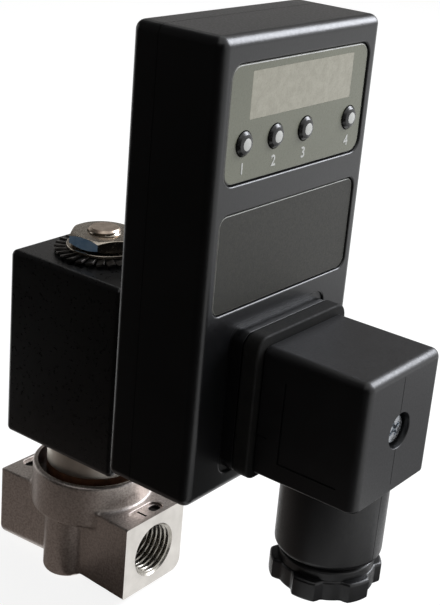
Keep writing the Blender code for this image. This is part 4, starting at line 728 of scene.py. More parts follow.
# The two flats that face along x are painted with a blue reflection, a painted highlight; the other flats are
# plain nickel.
painted_blue_reflection = grained(
    "blue_painted_highlight_zinc", "#7FA2C4", "#9DBAD6", 0.0016, 0.0004, (0.34, 0.5), 0.000006, Metallic=0.45
)
lock_middle = (lock_low.z + lock_high.z) / 2
lock_foot = lock_middle - LOCK_THICKNESS / 2
lock_top = lock_middle + LOCK_THICKNESS / 2
ring = [(STUD_CLEAR, lock_foot), (LOCK_ROOT, lock_foot), (LOCK_ROOT, lock_top), (STUD_CLEAR, lock_top)]
lock = add_piece("lock_washer_toothed", turned(ring), phosphated_steel)
lying = Matrix.Translation((TOOTH_START, 0, lock_middle)) @ Matrix.Rotation(TOOTH_TWIST, 4, "X")
lying = lying @ Matrix.Rotation(pi / 2, 4, "Y") @ Matrix.Rotation(pi / 2, 4, "Z")
tooth_size = (TOOTH_WIDTH, LOCK_THICKNESS, 0, lock_high.x - TOOTH_START, TOOTH_CORNER, 0, TOOTH_TIP)
for k in range(TOOTH_COUNT):
    tooth = soft_block(*tooth_size, steps=2)
    carve(lock, tooth, Matrix.Rotation(2 * pi * k / TOOTH_COUNT, 4, "Z") @ lying, "UNION")
seat(lock, "plated_steel", "lock_washer")

washer_profile = [
    (STUD_CLEAR, flat_low.z), (flat_high.x, flat_low.z, WASHER_FOOT_EDGE),
    (flat_high.x, flat_high.z, WASHER_TOP_EDGE), (STUD_CLEAR, flat_high.z),
]
washer = add_piece("plain_washer", turned(washer_profile), nickel_plate)
seat(washer, "plated_steel", "flat_washer")

nut_corner = NUT_FLATS / sqrt(3)
turns = [k * pi / 3 + NUT_TURN for k in range(6)]
hexagon = [(nut_corner * cos(turn), nut_corner * sin(turn)) for turn in turns]
nut = add_piece("hexagon_nut", loft([(hexagon, nut_low.z), (hexagon, nut_high.z)]), nickel_plate)
nut_outside = 2 * nut_corner - NUT_FLATS / 2
nut_trim = [
    (NUT_FLATS / 2, nut_low.z), (nut_outside, nut_low.z + 2 * NUT_BEVEL),
    (nut_outside, nut_high.z - 2 * NUT_BEVEL), (NUT_FLATS / 2 - NUT_FACE_INSET, nut_high.z),
]
carve(nut, turned_solid(nut_trim), operation="INTERSECT")
carve(nut, rod(STUD_RADIUS + NUT_THREAD_GAP, nut_low.z - OVER, nut_high.z + OVER))
# The flats that face along x get the painted blue reflection.
paint(nut, lambda face: painted_blue_reflection if abs(face.normal.x) > REFLECTION_FACING else nickel_plate)
seat(nut, "plated_steel", "hex_nut")

# Gaskets
# Moulded nitrile frames, a thin one between coil and timer and a thick one between timer and connector.
# The clamped rubber bulges a little at its edges.

GASKET_CORNER = 0.0033
GASKET_BULGE = 0.0005


def plug_box(name):
    """A solid's middle, size, back and front in the plug's own frame."""
    low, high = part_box(name)
    middle = ((low.x + high.x) / 2, (low.z + high.z) / 2 - PLUG_HEIGHT)
    return middle, (high.x - low.x, high.z - low.z), -high.y, -low.y


for name in ("coil_gasket", "connector_gasket"):
    middle, size, back, front = plug_box(name)
    pressed = soft_block(size[0], size[0], back, front, GASKET_CORNER, GASKET_BULGE, GASKET_BULGE)
    gasket = add_piece(f"{name}_rubber", pressed, nitrile, PLUG)
    plug_slots(gasket, back - OVER, front + OVER)
    seat(gasket, "black_rubber", name)

# Timer rear cover
# The back half of the timer's case, moulded in black ABS, with the square socket that plugs on the coil.
# Four screws hold it to posts in the front half.

CASE_MIDDLE, CASE_SIZE, _, BOSS_FRONT = plug_box("timer_front_shell")
CASE_CORNER = 0.002
CASE_FRONT_ROUND = 0.0022
CASE_BACK_ROUND = 0.0018
CASE_WALL = 0.002
CASE_BACK = 0.0279
SEAM = 0.0343
SEAM_GAP = 0.00012
LIP_WALL = 0.0012
SOCKET_SIZE = 0.028
SOCKET_CORNER = 0.003
SOCKET_EDGE = 0.0008
POST_RADIUS = 0.003
SHANK_CLEAR = 0.0014
HEAD_HEIGHT = 0.0014
screw_boxes = [plug_box(f"cover_screw_{k}") for k in (1, 2, 3, 4)]
post_places = [box[0] for box in screw_boxes]
HEAD_RADIUS = screw_boxes[0][1][0] / 2
HEAD_CLEAR = HEAD_RADIUS + FIT_GAP
HEAD_SEAT = screw_boxes[0][2] + HEAD_HEIGHT + FIT_GAP

# Moulded ABS has a fine spark-eroded grain, a satin black that picks up soft grey reflections.
satin_abs = grained("satin_abs", "#070809", "#0C0C0E", 0.015, 0.0005, (0.28, 0.38), 0.00001)

socket_back, lip_front = plug_box("timer_rear_cover")[2:]
tray = soft_block(*CASE_SIZE, CASE_BACK, SEAM, CASE_CORNER, CASE_BACK_ROUND, 0, CASE_MIDDLE)
cover = add_piece("rear_cover_moulding", tray, satin_abs, PLUG)
inner_size = [side - 2 * CASE_WALL for side in CASE_SIZE]
lip_size = [side - 2 * FIT_GAP for side in inner_size]
lip = soft_block(*lip_size, SEAM - OVER, lip_front, CASE_CORNER / 2, middle=CASE_MIDDLE)
carve(cover, lip, PLUG, "UNION")
hollow_size = [side - 2 * LIP_WALL for side in lip_size]
inner_back = CASE_BACK + CASE_WALL
tray_hollow = soft_block(*hollow_size, inner_back, lip_front + OVER, CASE_CORNER / 2, middle=CASE_MIDDLE)
carve(cover, tray_hollow, PLUG)
socket = soft_block(SOCKET_SIZE, SOCKET_SIZE, socket_back, CASE_BACK + OVER, SOCKET_CORNER, SOCKET_EDGE)
carve(cover, socket, PLUG, "UNION")
plug_slots(cover, socket_back - OVER, inner_back + OVER)
well = [
    (HEAD_CLEAR, CASE_BACK - OVER), (HEAD_CLEAR, HEAD_SEAT),
    (SHANK_CLEAR, HEAD_SEAT), (SHANK_CLEAR, SEAM + OVER),
]
for x, y in post_places:
    carve(cover, rod(POST_RADIUS + FIT_GAP, CASE_BACK + CASE_WALL / 2, SEAM, (x, y)), PLUG, "UNION")
    carve(cover, turned_solid(well, 48), PLUG @ Matrix.Translation((x, y, 0)))
seat(cover, "black_abs", "timer_rear_cover")

# Cover screws
# Four pan-head screws in plated steel, sunk in the back of the cover, each with a cross recess.
# The recess is a real cut, so it shows from the back.

SHANK_RADIUS = 0.0011
PAN_ROUND = 0.0005
CROSS_LENGTH = 0.0024
CROSS_WIDTH = 0.0006
CROSS_DEPTH = 0.0009


def cross_recess(piece, length, width, outer, depth, matrix):
    """Sink a cross into a screw head whose outer face lies at a height along z."""
    for wide, high in ((length, width), (width, length)):
        carve(piece, soft_block(wide, high, outer - depth, outer + OVER, width / 4, steps=2), matrix)


for k, ((x, y), size, head, tip) in enumerate(screw_boxes, 1):
    pan = [
        (0, head), (HEAD_RADIUS, head, PAN_ROUND), (HEAD_RADIUS, head + HEAD_HEIGHT),
        (SHANK_RADIUS, head + HEAD_HEIGHT), (SHANK_RADIUS, tip - SHANK_RADIUS), (0, tip),
    ]
    where = PLUG @ Matrix.Translation((x, y, 0))
    screw = add_piece(f"cover_screw_{k}_pan_head", turned(pan, 48), nickel_plate, where)
    cross_recess(screw, CROSS_LENGTH, CROSS_WIDTH, -head, CROSS_DEPTH, where @ Matrix.Rotation(pi, 4, "X"))
    seat(screw, "plated_steel", f"cover_screw_{k}")

# Board, contacts, switches and lamp
# A glass-epoxy board on the shell's posts carries the display, four push switches, the lamp and the contacts.
# They stay out of sight inside the case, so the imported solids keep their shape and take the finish.

WEAVE = 0.0007

# Solder mask over glass cloth is a glossy green in which the weave just shows.
solder_mask = grained("green_solder_mask", "#0E3A1E", "#134827", 0.006, 0.001, (0.22, 0.32), 0.000004)
threads = {"Color1": linear("#0E3A1E"), "Color2": linear("#14502B"), "Mortar": linear("#0B2E18")}
threads |= {"Vector": add_node(solder_mask, "TexCoord").outputs["Object"], "Scale": 0.5 / WEAVE}
solder_mask.node_tree.links.new(
    add_node(solder_mask, "TexBrick", threads).outputs[0],
    solder_mask.node_tree.nodes["Principled BSDF"].inputs["Base Color"],
)
# Stamped brass is a clean yellow with drawn streaks.
stamped_brass = grained(
    "stamped_brass", "#A8843C", "#C29E52", 0.003, 0.0005, (0.2, 0.34), 0.000004, Metallic=1.0
)
# The display's face is a pale grey-green glass.
display_glass = grained("display_glass", "#A2A397", "#ABACA0", 0.006, 0.0008, (0.08, 0.14), 0.000001)
# The lamp is a clear red cast epoxy.
red_epoxy = grained("red_cast_epoxy", "#7A0A0C", "#920E10", 0.002, 0.0008, (0.08, 0.14), 0.000001)
dress(solder_mask, "circuit_board")
dress(stamped_brass, *[f"socket_contact_{way}" for way in ("left", "right", "earth")])
dress(glass_nylon, *[f"{key}_switch" for key in ("mode", "add", "enter", "reset")])
dress(display_glass, "display_module")
dress(red_epoxy, "indicator_lamp")

# Timer front shell
# The front half of the timer's case, in the same satin ABS, with sunk beds for the panel and the label.
# A square boss carries the plug that the connector goes on, in a shallow bed of its own.

FRONT = 0.04964
INNER_FRONT = FRONT - CASE_WALL
BOSS_SIZE = 0.0314
BOSS_CORNER = 0.003
BOSS_ROUND = 0.00006
BED_MARGIN = 0.001
BED_SIZE = BOSS_SIZE + 2 * BED_MARGIN
BED_DEPTH = 0.0005
RECESS_LIP = 0.0004
PANEL_CORNER = 0.003
LABEL_CORNER = 0.0024
BUTTON_RADIUS = 0.0024
SLIDE_GAP = 0.0002
WINDOW_CORNER = 0.0003
SPIGOT = 0.002
SHOULDER = 0.0425
BUTTONS = ("mode_button", "add_button", "enter_button", "reset_button")
button_boxes = [plug_box(name) for name in BUTTONS]
panel_middle, panel_size, panel_back, panel_front = plug_box("display_panel")
label_middle, label_size, label_back, label_front = plug_box("label_film")
window_middle, module_size = plug_box("display_module")[:2]
window_size = [side + 2 * FIT_GAP for side in module_size]
lamp_place, lamp_size = plug_box("indicator_lamp")[:2]


def panel_holes(piece, start, end):
    """Clear the four buttons and the display through a piece."""
    for place, *_ in button_boxes:
        carve(piece, rod(BUTTON_RADIUS + SLIDE_GAP, start, end, place), PLUG)
    carve(piece, soft_block(*window_size, start, end, WINDOW_CORNER, middle=window_middle), PLUG)


case = soft_block(*CASE_SIZE, SEAM + SEAM_GAP, FRONT, CASE_CORNER, 0, CASE_FRONT_ROUND, CASE_MIDDLE, 8)
shell = add_piece("front_shell_moulding", case, satin_abs, PLUG)
carve(shell, soft_block(*inner_size, SEAM - OVER, INNER_FRONT, CASE_CORNER / 2, middle=CASE_MIDDLE), PLUG)
carve(shell, lipped_bed(BED_SIZE, BED_SIZE, FRONT - BED_DEPTH, FRONT, BOSS_CORNER, RECESS_LIP), PLUG)
boss = soft_block(BOSS_SIZE, BOSS_SIZE, INNER_FRONT, BOSS_FRONT, BOSS_CORNER, 0, BOSS_ROUND)
carve(shell, boss, PLUG, "UNION")
plug_slots(shell, INNER_FRONT - OVER, BOSS_FRONT + OVER)
for middle, size, back, corner in (
    (panel_middle, panel_size, panel_back, PANEL_CORNER),
    (label_middle, label_size, label_back, LABEL_CORNER),
):
    bed_size = [side + 2 * FIT_GAP for side in size]
    carve(shell, lipped_bed(*bed_size, back - FIT_GAP, FRONT, corner, RECESS_LIP, middle), PLUG)
panel_holes(shell, INNER_FRONT - OVER, FRONT)
carve(shell, rod(lamp_size[0] / 2 + FIT_GAP, INNER_FRONT - OVER, FRONT, lamp_place), PLUG)
post_top = FRONT - CASE_WALL / 2
post = [(SPIGOT, SEAM + FIT_GAP), (SPIGOT, SHOULDER), (POST_RADIUS, SHOULDER), (POST_RADIUS, post_top)]
for place in post_places:
    carve(shell, turned_solid(post, 32), PLUG @ Matrix.Translation((*place, 0)), "UNION")
    carve(shell, rod(SHANK_CLEAR, SEAM - OVER, screw_boxes[0][3] + FIT_GAP, place, 32), PLUG)
seat(shell, "black_abs", "timer_front_shell")

# Display panel and window
# A thin smoked acrylic sheet, screen printed grey-green on its back, with a clear window over the display.
# It is stuck in the upper bed, and its upper edge catches the light.

PANEL_EDGE = 0.0003
WINDOW_SEAM = 0.00002
RIM_SHARE = 0.46
RIM_FACING = 0.95

# Back-printed acrylic is an even grey-green under a thin gloss.
smoked_acrylic = grained(
    "back_printed_acrylic", "#787968", "#80816F", 0.02, 0.0007, (0.24, 0.32), 0.000003
)
# Over the display the sheet is left clear, so the pale glass behind shows with a slight cloud.
clear_window = grained("window_acrylic", "#ADA997", "#BAB6A4", 0.0016, 0.0006, (0.24, 0.32), 0.000003)
# The cut rim of each sheet is painted pale as a highlight along its edges.
painted_rim_highlight = grained("pale_painted_edge_highlight", "#B4B4AC", "#CBCBC3", 0.002, 0.0004, (0.4, 0.55), 0.000006)


def pale_rim(sheet, name, film):
    """Paint a sheet's cut rim pale as a highlight, and leave its face and its holes."""
    low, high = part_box(name)

    def finish(face):
        off = face.center - (low + high) / 2
        beside = max(abs(off.x) / (high.x - low.x), abs(off.z) / (high.z - low.z))
        # Rim faces get the painted highlight.
        return painted_rim_highlight if beside > RIM_SHARE and abs(face.normal.y) < RIM_FACING else film

    paint(sheet, finish)


sawn = soft_block(*panel_size, panel_back, panel_front, PANEL_CORNER - FIT_GAP, 0, PANEL_EDGE, panel_middle)
panel = add_piece("panel_sheet", sawn, smoked_acrylic, PLUG)
panel_holes(panel, panel_back - OVER, panel_front + OVER)
pale_rim(panel, "display_panel", smoked_acrylic)
seat(panel, "smoked_panel", "display_panel")
clear_size = [side - 2 * WINDOW_SEAM for side in window_size]
clear = soft_block(*clear_size, panel_back, panel_front, WINDOW_CORNER, middle=window_middle)
seat(add_piece("display_window", clear, clear_window, PLUG), "display_face")

# Label film
# A plain matt polyester film in the lower bed, with a fine embossed tooth.
# Its edges are cut square and only just eased.

LABEL_EDGE = 0.00015

# Embossed polyester film is a dull olive black with a close tooth, drawn at 0.35 mm so that it shows.
embossed_film = grained("embossed_polyester", "#1B1A13", "#26251D", 0.0008, 0.00035, (0.46, 0.62), 0.00002)
film = soft_block(*label_size, label_back, label_front, LABEL_CORNER - FIT_GAP, 0, LABEL_EDGE, label_middle)
label = add_piece("label_sheet", film, embossed_film, PLUG)
pale_rim(label, "label_film", embossed_film)
seat(label, "label_film", "label_film")

# Push buttons
# Four low buttons moulded in dark acetal, each with a chamfered crown and a white printed spot on top.
# Each has a flange inside the case that keeps it in, and rides on its own body.

CROWN_RISE = 0.0007
CROWN_CHAMFER = 0.0005
CROWN_ROUND = 0.00012
SPOT_RADIUS = 0.0012
SPOT_MARGIN = 0.0001
SPOT_SINK = 0.0001
SPOT_RISE = 0.00003
SPOT_EDGE = 0.00002
BUTTON_FLANGE = 0.0033
FLANGE_HEIGHT = 0.0008

# Moulded acetal is a smooth dark grey.
dark_acetal = grained("dark_acetal", "#161616", "#1E1E1D", 0.003, 0.0004, (0.22, 0.32), 0.000004)
# The white spot is a printed ink with a slight tooth.
white_ink = grained("white_ink", "#DADAD3", "#E6E6E0", 0.002, 0.0003, (0.45, 0.6), 0.000004)
for name, (place, size, foot, top) in zip(BUTTONS, button_boxes):
    where = PLUG @ Matrix.Translation((*place, 0))
    end = top - SPOT_RISE
    crown = end - CROWN_RISE
    stem = turned_solid([
        (BUTTON_FLANGE, foot), (BUTTON_FLANGE, foot + FLANGE_HEIGHT), (BUTTON_RADIUS, foot + FLANGE_HEIGHT),
        (BUTTON_RADIUS, crown, CROWN_ROUND),
        (BUTTON_RADIUS - CROWN_CHAMFER, crown + CROWN_CHAMFER, CROWN_ROUND), (SPOT_RADIUS + SPOT_MARGIN, end),
    ], 64)
    seat(add_piece(f"{name}_stem", stem, dark_acetal, where), "button_plastic", name, body=name)
    disc = turned_solid([(SPOT_RADIUS, end - SPOT_SINK), (SPOT_RADIUS, top, SPOT_EDGE)], 48)
    seat(add_piece(f"{name}_spot", disc, white_ink, where), "button_plastic", body=name)

# Button numerals
# Plain figures printed under the buttons, one to four, in the same white ink.
# The print stands a few hundredths of a millimetre off the sheet.

FIGURE_SIZE = 0.0031
FIGURE_DROP = 0.005
FIGURE_BOLD = 0.00006
PRINT_RISE = 0.00006
PRINT_SINK = 0.00001
for text, ((x, y), size, foot, top) in zip("1234", button_boxes):
    where = PLUG @ Matrix.Translation((x, y - FIGURE_DROP, panel_front - PRINT_SINK))
    print_body = figures(text, FIGURE_SIZE, PRINT_RISE, FIGURE_BOLD)
    seat(add_piece(f"button_numeral_{text}", print_body, white_ink, where), "smoked_panel")

# Connector housing
# The hood of a square cable connector, moulded in glass-filled nylon, with a round sleeve below it.
# A well in its front takes the long screw, and a thin angled groove is moulded in each side.

plug_low, plug_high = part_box("connector_housing")
HOOD_WIDTH = plug_high.x - plug_low.x
HOOD_HEIGHT = 2 * (plug_high.z - PLUG_HEIGHT)
HOOD_BACK = -plug_high.y
HOOD_FRONT = -plug_low.y
HOOD_CORNER = 0.002
HOOD_ROUND = 0.002
HOOD_BACK_EDGE = 0.0002
HOOD_FOOT_EDGE = 0.0005
HOOD_WALL = 0.0017
HOOD_FOOT = PLUG_HEIGHT - HOOD_HEIGHT / 2
gland_low, gland_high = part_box("gland_nut")
GLAND_AXIS = (gland_low.y + gland_high.y) / 2
GLAND = Matrix.Translation((0, GLAND_AXIS, 0))
SLEEVE_RADIUS = 0.0115
SLEEVE_EDGE = 0.0014
GLAND_BORE = 0.0096
GLAND_BORE_TOP = plug_low.z + 0.0098
CABLE_BORE = 0.0046
WELL_RADIUS = 0.0039
WELL_FLOOR = HOOD_FRONT - 0.0046
WELL_EDGE = 0.00012
WELL_WALL = 0.0016
TOWER_FOOT = WELL_FLOOR - 0.002
GROOVE_BACK = HOOD_BACK + 0.0056
GROOVE_FRONT = HOOD_FRONT - 0.0048
GROOVE_HEAD = HOOD_HEIGHT / 2 - 0.006
GROOVE_FOOT = 0.004 - HOOD_HEIGHT / 2
GROOVE_WIDTH = 0.0004
GROOVE_DEPTH = 0.0003
GROOVE_CORNER = 0.0001
NOTCH_FOOT = -0.0055
NOTCH_LENGTH = 0.0025
MOULD_LINE = -0.0006
MOULD_LINE_WIDTH = 0.00016
MOULD_LINE_DEPTH = 0.00008
MOULD_LINE_CORNER = 0.00004


def connector_ring(inset, z):
    """The connector's outline, rounded above and at the sides but crisp along its foot."""
    side = HOOD_WIDTH / 2 - inset
    head = HOOD_HEIGHT / 2 - inset
    foot = inset * HOOD_FOOT_EDGE / HOOD_ROUND - HOOD_HEIGHT / 2
    corner = max(HOOD_CORNER - inset, HOOD_FOOT_EDGE)
    crisp = HOOD_FOOT_EDGE
    corners = [(side, foot, crisp), (side, head, corner), (-side, head, corner), (-side, foot, crisp)]
    return eased(corners, 8), z


levels = [(HOOD_BACK_EDGE, HOOD_BACK), (0, HOOD_BACK + HOOD_BACK_EDGE)]
levels += [(inset, HOOD_FRONT - rise) for inset, rise in edge_round(HOOD_ROUND, 10)[::-1]]
hood = loft([connector_ring(*level) for level in levels])
connector = add_piece("connector_moulding", hood, glass_nylon, PLUG)
sleeve_top = HOOD_FOOT + HOOD_WALL / 2
sleeve = turned_solid([(SLEEVE_RADIUS, plug_low.z, SLEEVE_EDGE), (SLEEVE_RADIUS, sleeve_top)])
carve(connector, sleeve, GLAND, "UNION")
hollow_size = [side - 2 * HOOD_WALL for side in (HOOD_WIDTH, HOOD_HEIGHT)]
inner_front = HOOD_FRONT - HOOD_WALL
carve(connector, soft_block(*hollow_size, HOOD_BACK - OVER, inner_front, HOOD_CORNER / 2), PLUG)
grooves = (
    (GROOVE_FOOT, GROOVE_HEAD, GROOVE_BACK, GROOVE_BACK + GROOVE_WIDTH),
    (GROOVE_FOOT, GROOVE_FOOT + GROOVE_WIDTH, GROOVE_BACK, GROOVE_FRONT),
    (NOTCH_FOOT, NOTCH_FOOT + GROOVE_WIDTH, HOOD_BACK - OVER, HOOD_BACK + NOTCH_LENGTH),
)
for side in (-1, 1):
    across = side * (HOOD_WIDTH + OVER - GROOVE_DEPTH) / 2
    for foot, head, start, end in grooves:
        middle = (across, (foot + head) / 2)
        cut = soft_block(GROOVE_DEPTH + OVER, head - foot, start, end, GROOVE_CORNER, middle=middle, steps=2)
        carve(connector, cut, PLUG)
seam_size = (MOULD_LINE_WIDTH, HOOD_HEIGHT - 2 * HOOD_ROUND)
seam_reach = (HOOD_FRONT - MOULD_LINE_DEPTH, HOOD_FRONT + OVER, MOULD_LINE_CORNER)
carve(connector, soft_block(*seam_size, *seam_reach, middle=(MOULD_LINE, 0), steps=2), PLUG)
seam_middle = (MOULD_LINE, GLAND_AXIS - SLEEVE_RADIUS + MOULD_LINE_DEPTH - OVER / 2)
seam_reach = (plug_low.z + SLEEVE_EDGE, HOOD_FOOT, MOULD_LINE_CORNER)
carve(connector, soft_block(MOULD_LINE_WIDTH, OVER, *seam_reach, middle=seam_middle, steps=2))
tower = rod(WELL_RADIUS + WELL_WALL, TOWER_FOOT, HOOD_FRONT - HOOD_WALL / 2)
carve(connector, tower, PLUG, "UNION")
well = [
    (SCREW_CLEAR, TOWER_FOOT - OVER), (SCREW_CLEAR, WELL_FLOOR), (WELL_RADIUS, WELL_FLOOR),
    (WELL_RADIUS, HOOD_FRONT - WELL_EDGE), (WELL_RADIUS + WELL_EDGE, HOOD_FRONT),
    (WELL_RADIUS + WELL_EDGE, HOOD_FRONT + OVER),
]
carve(connector, turned_solid(well, 64), PLUG)
bore_end = HOOD_FOOT + HOOD_WALL + OVER
bore = [
    (GLAND_BORE, plug_low.z - OVER), (GLAND_BORE, GLAND_BORE_TOP),
    (CABLE_BORE + FIT_GAP, GLAND_BORE_TOP), (CABLE_BORE + FIT_GAP, bore_end),
]
carve(connector, turned_solid(bore), GLAND)
seat(connector, "black_nylon", "connector_housing")

# Long screw and its seal
# One long cheese-head screw in plated steel runs from the connector through the timer into the coil.
# A rubber ring seals it in the well, and its cross recess is a real cut.

LONG_HEAD_RADIUS = screw_high.x
LONG_HEAD_FACE = -screw_low.y
LONG_HEAD_FOOT = LONG_HEAD_FACE - 0.002
LONG_HEAD_ROUND = 0.0006
LONG_SHANK = 0.0015
LONG_CROSS_LENGTH = 0.0038
LONG_CROSS_WIDTH = 0.0009
LONG_CROSS_DEPTH = 0.0013
LONG_CROSS_TURN = 0.5

# Zinc plate is a bright, faintly blue metal.
zinc_plate = grained(
    "bright_zinc_plate", "#D4D9DE", "#E8EBEE", 0.0016, 0.0004, (0.18, 0.3), 0.000006, Metallic=1.0
)
cheese_head = [
    (LONG_SHANK, -screw_high.y), (LONG_SHANK, LONG_HEAD_FOOT),
    (LONG_HEAD_RADIUS, LONG_HEAD_FOOT), (LONG_HEAD_RADIUS, LONG_HEAD_FACE, LONG_HEAD_ROUND),
]
long_screw = add_piece("long_cheese_head_screw", turned_solid(cheese_head, 64), zinc_plate, PLUG)
cross = (LONG_CROSS_LENGTH, LONG_CROSS_WIDTH, LONG_HEAD_FACE, LONG_CROSS_DEPTH)
cross_recess(long_screw, *cross, PLUG @ Matrix.Rotation(LONG_CROSS_TURN, 4, "Z"))
seat(long_screw, "plated_steel", "connector_screw")
dress(nitrile, "screw_seal")

# Cable gland
# A rubber grommet and a plain washer in the sleeve, pressed together by a nut with six finger lobes.
# The nut is moulded in the connector's own nylon.

LOBES = 6
LOBE_TURN = 0.19
LOBE_NOTCH = 0.0013
LOBE_CREST = 0.7
LOBE_FLOOR = 0.25
NUT_EDGE = 0.0007
NUT_RADIUS = 0.012
NUT_SHOW = 0.0004
COLLAR_RADIUS = 0.0103
COLLAR_EDGE = 0.0004
COLLAR_TOP = plug_low.z - NUT_SHOW
NUT_HEAD_TOP = COLLAR_TOP - 0.0024
PACKING_RADIUS = GLAND_BORE - FIT_GAP
HOLE_BEVEL = 0.0008
GROMMET_EDGE = 0.0004
GLAND_WASHER_EDGE = 0.0001


def lobed_ring(inset, steps=20):
    """Outline of the gland nut: blunt lobes for the fingers with a wide shallow hollow between each two."""
    points = []
    for k in range(LOBES * steps):
        angle = 2 * pi * k / (LOBES * steps)
        crest = (1 + cos(LOBES * angle)) / 2
        fall = min(1, max(0, (LOBE_CREST - crest) / (LOBE_CREST - LOBE_FLOOR)))
        radius = NUT_RADIUS - inset - LOBE_NOTCH * fall**2 * (3 - 2 * fall)
        points.append((radius * cos(angle + LOBE_TURN), radius * sin(angle + LOBE_TURN)))
    return points


nut_rings = [(lobed_ring(inset), gland_low.z + rise) for inset, rise in edge_round(NUT_EDGE)]
nut_rings += [(lobed_ring(inset), NUT_HEAD_TOP - rise) for inset, rise in edge_round(NUT_EDGE)[::-1]]
gland_nut = add_piece("lobed_gland_nut", loft(nut_rings), glass_nylon, GLAND)
collar = [
    (COLLAR_RADIUS, NUT_HEAD_TOP - NUT_EDGE), (COLLAR_RADIUS, COLLAR_TOP - NUT_EDGE, COLLAR_EDGE),
    (PACKING_RADIUS, COLLAR_TOP), (PACKING_RADIUS, gland_high.z),
]
carve(gland_nut, turned_solid(collar), GLAND, "UNION")
gland_hole = [
    (CABLE_BORE + HOLE_BEVEL, gland_low.z - OVER), (CABLE_BORE + HOLE_BEVEL, gland_low.z),
    (CABLE_BORE, gland_low.z + HOLE_BEVEL), (CABLE_BORE, gland_high.z + OVER),
]
carve(gland_nut, turned_solid(gland_hole, 64), GLAND)
seat(gland_nut, "black_nylon", "gland_nut")
for name, material, slot_name, edge in (
    ("gland_grommet", nitrile, "black_rubber", GROMMET_EDGE),
    ("gland_washer", nickel_plate, "plated_steel", GLAND_WASHER_EDGE),
):
    low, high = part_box(name)
    sides = ((CABLE_BORE, low.z), (high.x, low.z), (high.x, high.z), (CABLE_BORE, high.z))
    ring = turned([(*corner, edge) for corner in sides], 64)
    seat(add_piece(f"{name}_ring", ring, material, GLAND), slot_name, name)

# Floor and studio
# A pale seamless floor, one soft lamp from the upper right, and dim cards that give the black faces depth;
# three of the floor cards are painted shade for the object's own shadow on the floor.
# Only the floor is seen by the camera, and it keeps the object's shadow.

FLOOR_LEVEL = cad_box[0][2]
FLOOR_REACH = 6.0
FLOOR_GLOW = 0.85
AIR_GLOW = 0.3
KEY_DIRECTION = Vector((0.75, -0.37, 0.55)).normalized()
KEY_DISTANCE = 0.9
KEY_SIZE = 0.5
KEY_RADIANCE = 13.0
AIM = Vector((0, -0.03, 0.06))
CARD_LIFT = 0.0008
CARD_REACH = 0.5  # of a card of one metre, before it takes its own size
# The near, under and front floor cards are painted shade: dark sheets that reflections see in place of the
# object's shadow on the floor.
FLAT_CARDS = {
    "left_floor_card": ((-1.3, -0.06), (-0.7, 1.2), CARD_LIFT, "#2A2725"),
    "near_floor_shade_card": ((-0.06, -0.0105), (-0.06, 0.08), CARD_LIFT, "#7E7672"),
    "under_shade_card": ((-0.03, -0.006), (-0.02, -0.004), 2 * CARD_LIFT, "#3C3633"),
    "front_floor_shade_card": ((-0.03, 0.045), (-0.13, -0.07), CARD_LIFT, "#2A2828"),
    "right_floor_card": ((0.07, 0.21), (-0.2, -0.09), CARD_LIFT, "#B4B4B6"),
}
STANDING_CARDS = {
    "left_card": ((-0.95, 0.25, 0.3), (2.4, 1.0), "#2A2725"),
    "camera_card": ((-0.72, -0.72, 0.3), (0.9, 1.0), "#2A2725"),
    "back_card": ((0.55, 0.38, 0.12), (1.2, 0.3), "#ABA9A7"),
    "upper_back_card": ((0.52, 0.36, 0.42), (1.2, 0.3), "#6A6866"),
    "top_card": ((-0.3, 0.6, 0.8), (1.6, 0.9), "#343231"),
}


def sees_background(owner, strength):
    """A strength for the camera, for metal and for glass, which the rest of the light doesn't get."""
    ray = add_node(owner, "LightPath").outputs
    seen = add_node(owner, "Math", {0: ray["Is Camera Ray"], 1: ray["Is Glossy Ray"]}, operation="ADD")
    seen = add_node(owner, "Math", {0: seen.outputs[0], 1: ray["Is Transmission Ray"]}, operation="ADD")
    levels = {"Value": seen.outputs[0], "To Min": strength[0], "To Max": strength[1]}
    return add_node(owner, "MapRange", levels).outputs[0]


def studio_sheet(name, finish, place, reach, segments, sockets):
    """A flat sheet that belongs to the studio, in a dull material of its own."""
    grid = bmesh.new()
    bmesh.ops.create_grid(grid, x_segments=segments, y_segments=segments, size=reach)
    material = bpy.data.materials.new(finish)
    material.use_nodes = True
    shader = material.node_tree.nodes["Principled BSDF"]
    for key, value in sockets.items():
        shader.inputs[key].default_value = value
    shader.inputs["Specular IOR Level"].default_value = 0.0
    sheet = add_piece(name, grid, material, place)
    return sheet


# White paper: matt to the lamp, and seen as plain white by the camera, by metal and by glass.
dull = {"Base Color": linear("#8C8C8A"), "Roughness": 0.9, "Emission Color": (1, 1, 1, 1)}
on_floor = Matrix.Translation((0, 0, FLOOR_LEVEL))
paper = studio_sheet("studio_floor", "white_paper", on_floor, FLOOR_REACH, 4, dull).active_material
paper_glow = paper.node_tree.nodes["Principled BSDF"].inputs["Emission Strength"]
paper.node_tree.links.new(sees_background(paper, (0.0, FLOOR_GLOW)), paper_glow)

world = bpy.data.worlds.new("studio_air")
bpy.context.scene.world = world
world.use_nodes = True
air = world.node_tree.nodes["Background"]
air.inputs["Color"].default_value = (1, 1, 1, 1)
world.node_tree.links.new(sees_background(world, (AIR_GLOW, 1.0)), air.inputs["Strength"])


def facing_aim(at):
    """A matrix at a place, turned to the object."""
    return Matrix.Translation(at) @ (AIM - Vector(at)).to_track_quat("-Z", "Y").to_matrix().to_4x4()


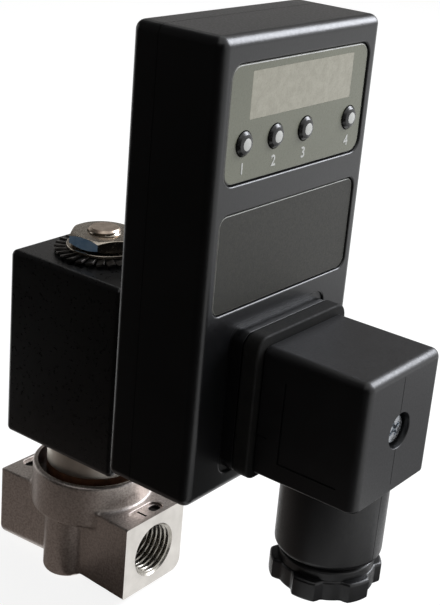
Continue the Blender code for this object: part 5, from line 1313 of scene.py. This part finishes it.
def add_card(name, place, size, colour):
    """A dim cloth card that only reflections see."""
    cloth = {"Base Color": (0, 0, 0, 1), "Emission Color": linear(colour), "Emission Strength": 1.0}
    card = studio_sheet(name, f"{name}_cloth", place @ Matrix.Diagonal((*size, 1, 1)), CARD_REACH, 2, cloth)
    card.visible_camera = False
    card.visible_diffuse = False
    card.visible_shadow = False


key_lamp = bpy.data.lights.new("soft_key", "AREA")
key_lamp.size = KEY_SIZE
key_lamp.energy = KEY_RADIANCE * KEY_SIZE**2 * pi
key_lamp.color = linear("#F4F7FF")[:3]
key = bpy.data.objects.new("soft_key", key_lamp)
key.matrix_world = facing_aim(AIM + KEY_DIRECTION * KEY_DISTANCE)
bpy.context.scene.collection.objects.link(key)
for name, ((left, right), (near, far), lift, colour) in FLAT_CARDS.items():
    middle = ((left + right) / 2, (near + far) / 2, FLOOR_LEVEL + lift)
    add_card(name, Matrix.Translation(middle), (right - left, far - near), colour)
for name, (at, size, colour) in STANDING_CARDS.items():
    add_card(name, facing_aim(at), size, colour)

# Camera
# Placed where the photograph was taken from: left of the front, above, with a long lens and a slight roll.

CAMERA_AZIMUTH = radians(-53.94)
CAMERA_ELEVATION = radians(21.48)
CAMERA_ROLL = radians(5.06)
CAMERA_DISTANCE = 0.27563
CAMERA_ASIDE = -0.01261
CAMERA_TARGET = Vector((0, -0.0497, 0.07149))
LENS = 78.85
NEAR_LIMIT = 0.01

lens = bpy.data.cameras.new("camera")
lens.lens = LENS
lens.clip_start = NEAR_LIMIT
camera = bpy.data.objects.new("camera", lens)
swung = Matrix.Rotation(CAMERA_AZIMUTH, 4, "Z") @ Matrix.Rotation(pi / 2 - CAMERA_ELEVATION, 4, "X")
stand = Matrix.Translation((CAMERA_ASIDE, 0, CAMERA_DISTANCE)) @ Matrix.Rotation(CAMERA_ROLL, 4, "Z")
camera.matrix_world = Matrix.Translation(CAMERA_TARGET) @ swung @ stand
bpy.context.scene.collection.objects.link(camera)
bpy.context.scene.camera = camera
bpy.context.scene.view_settings.view_transform = "Standard"
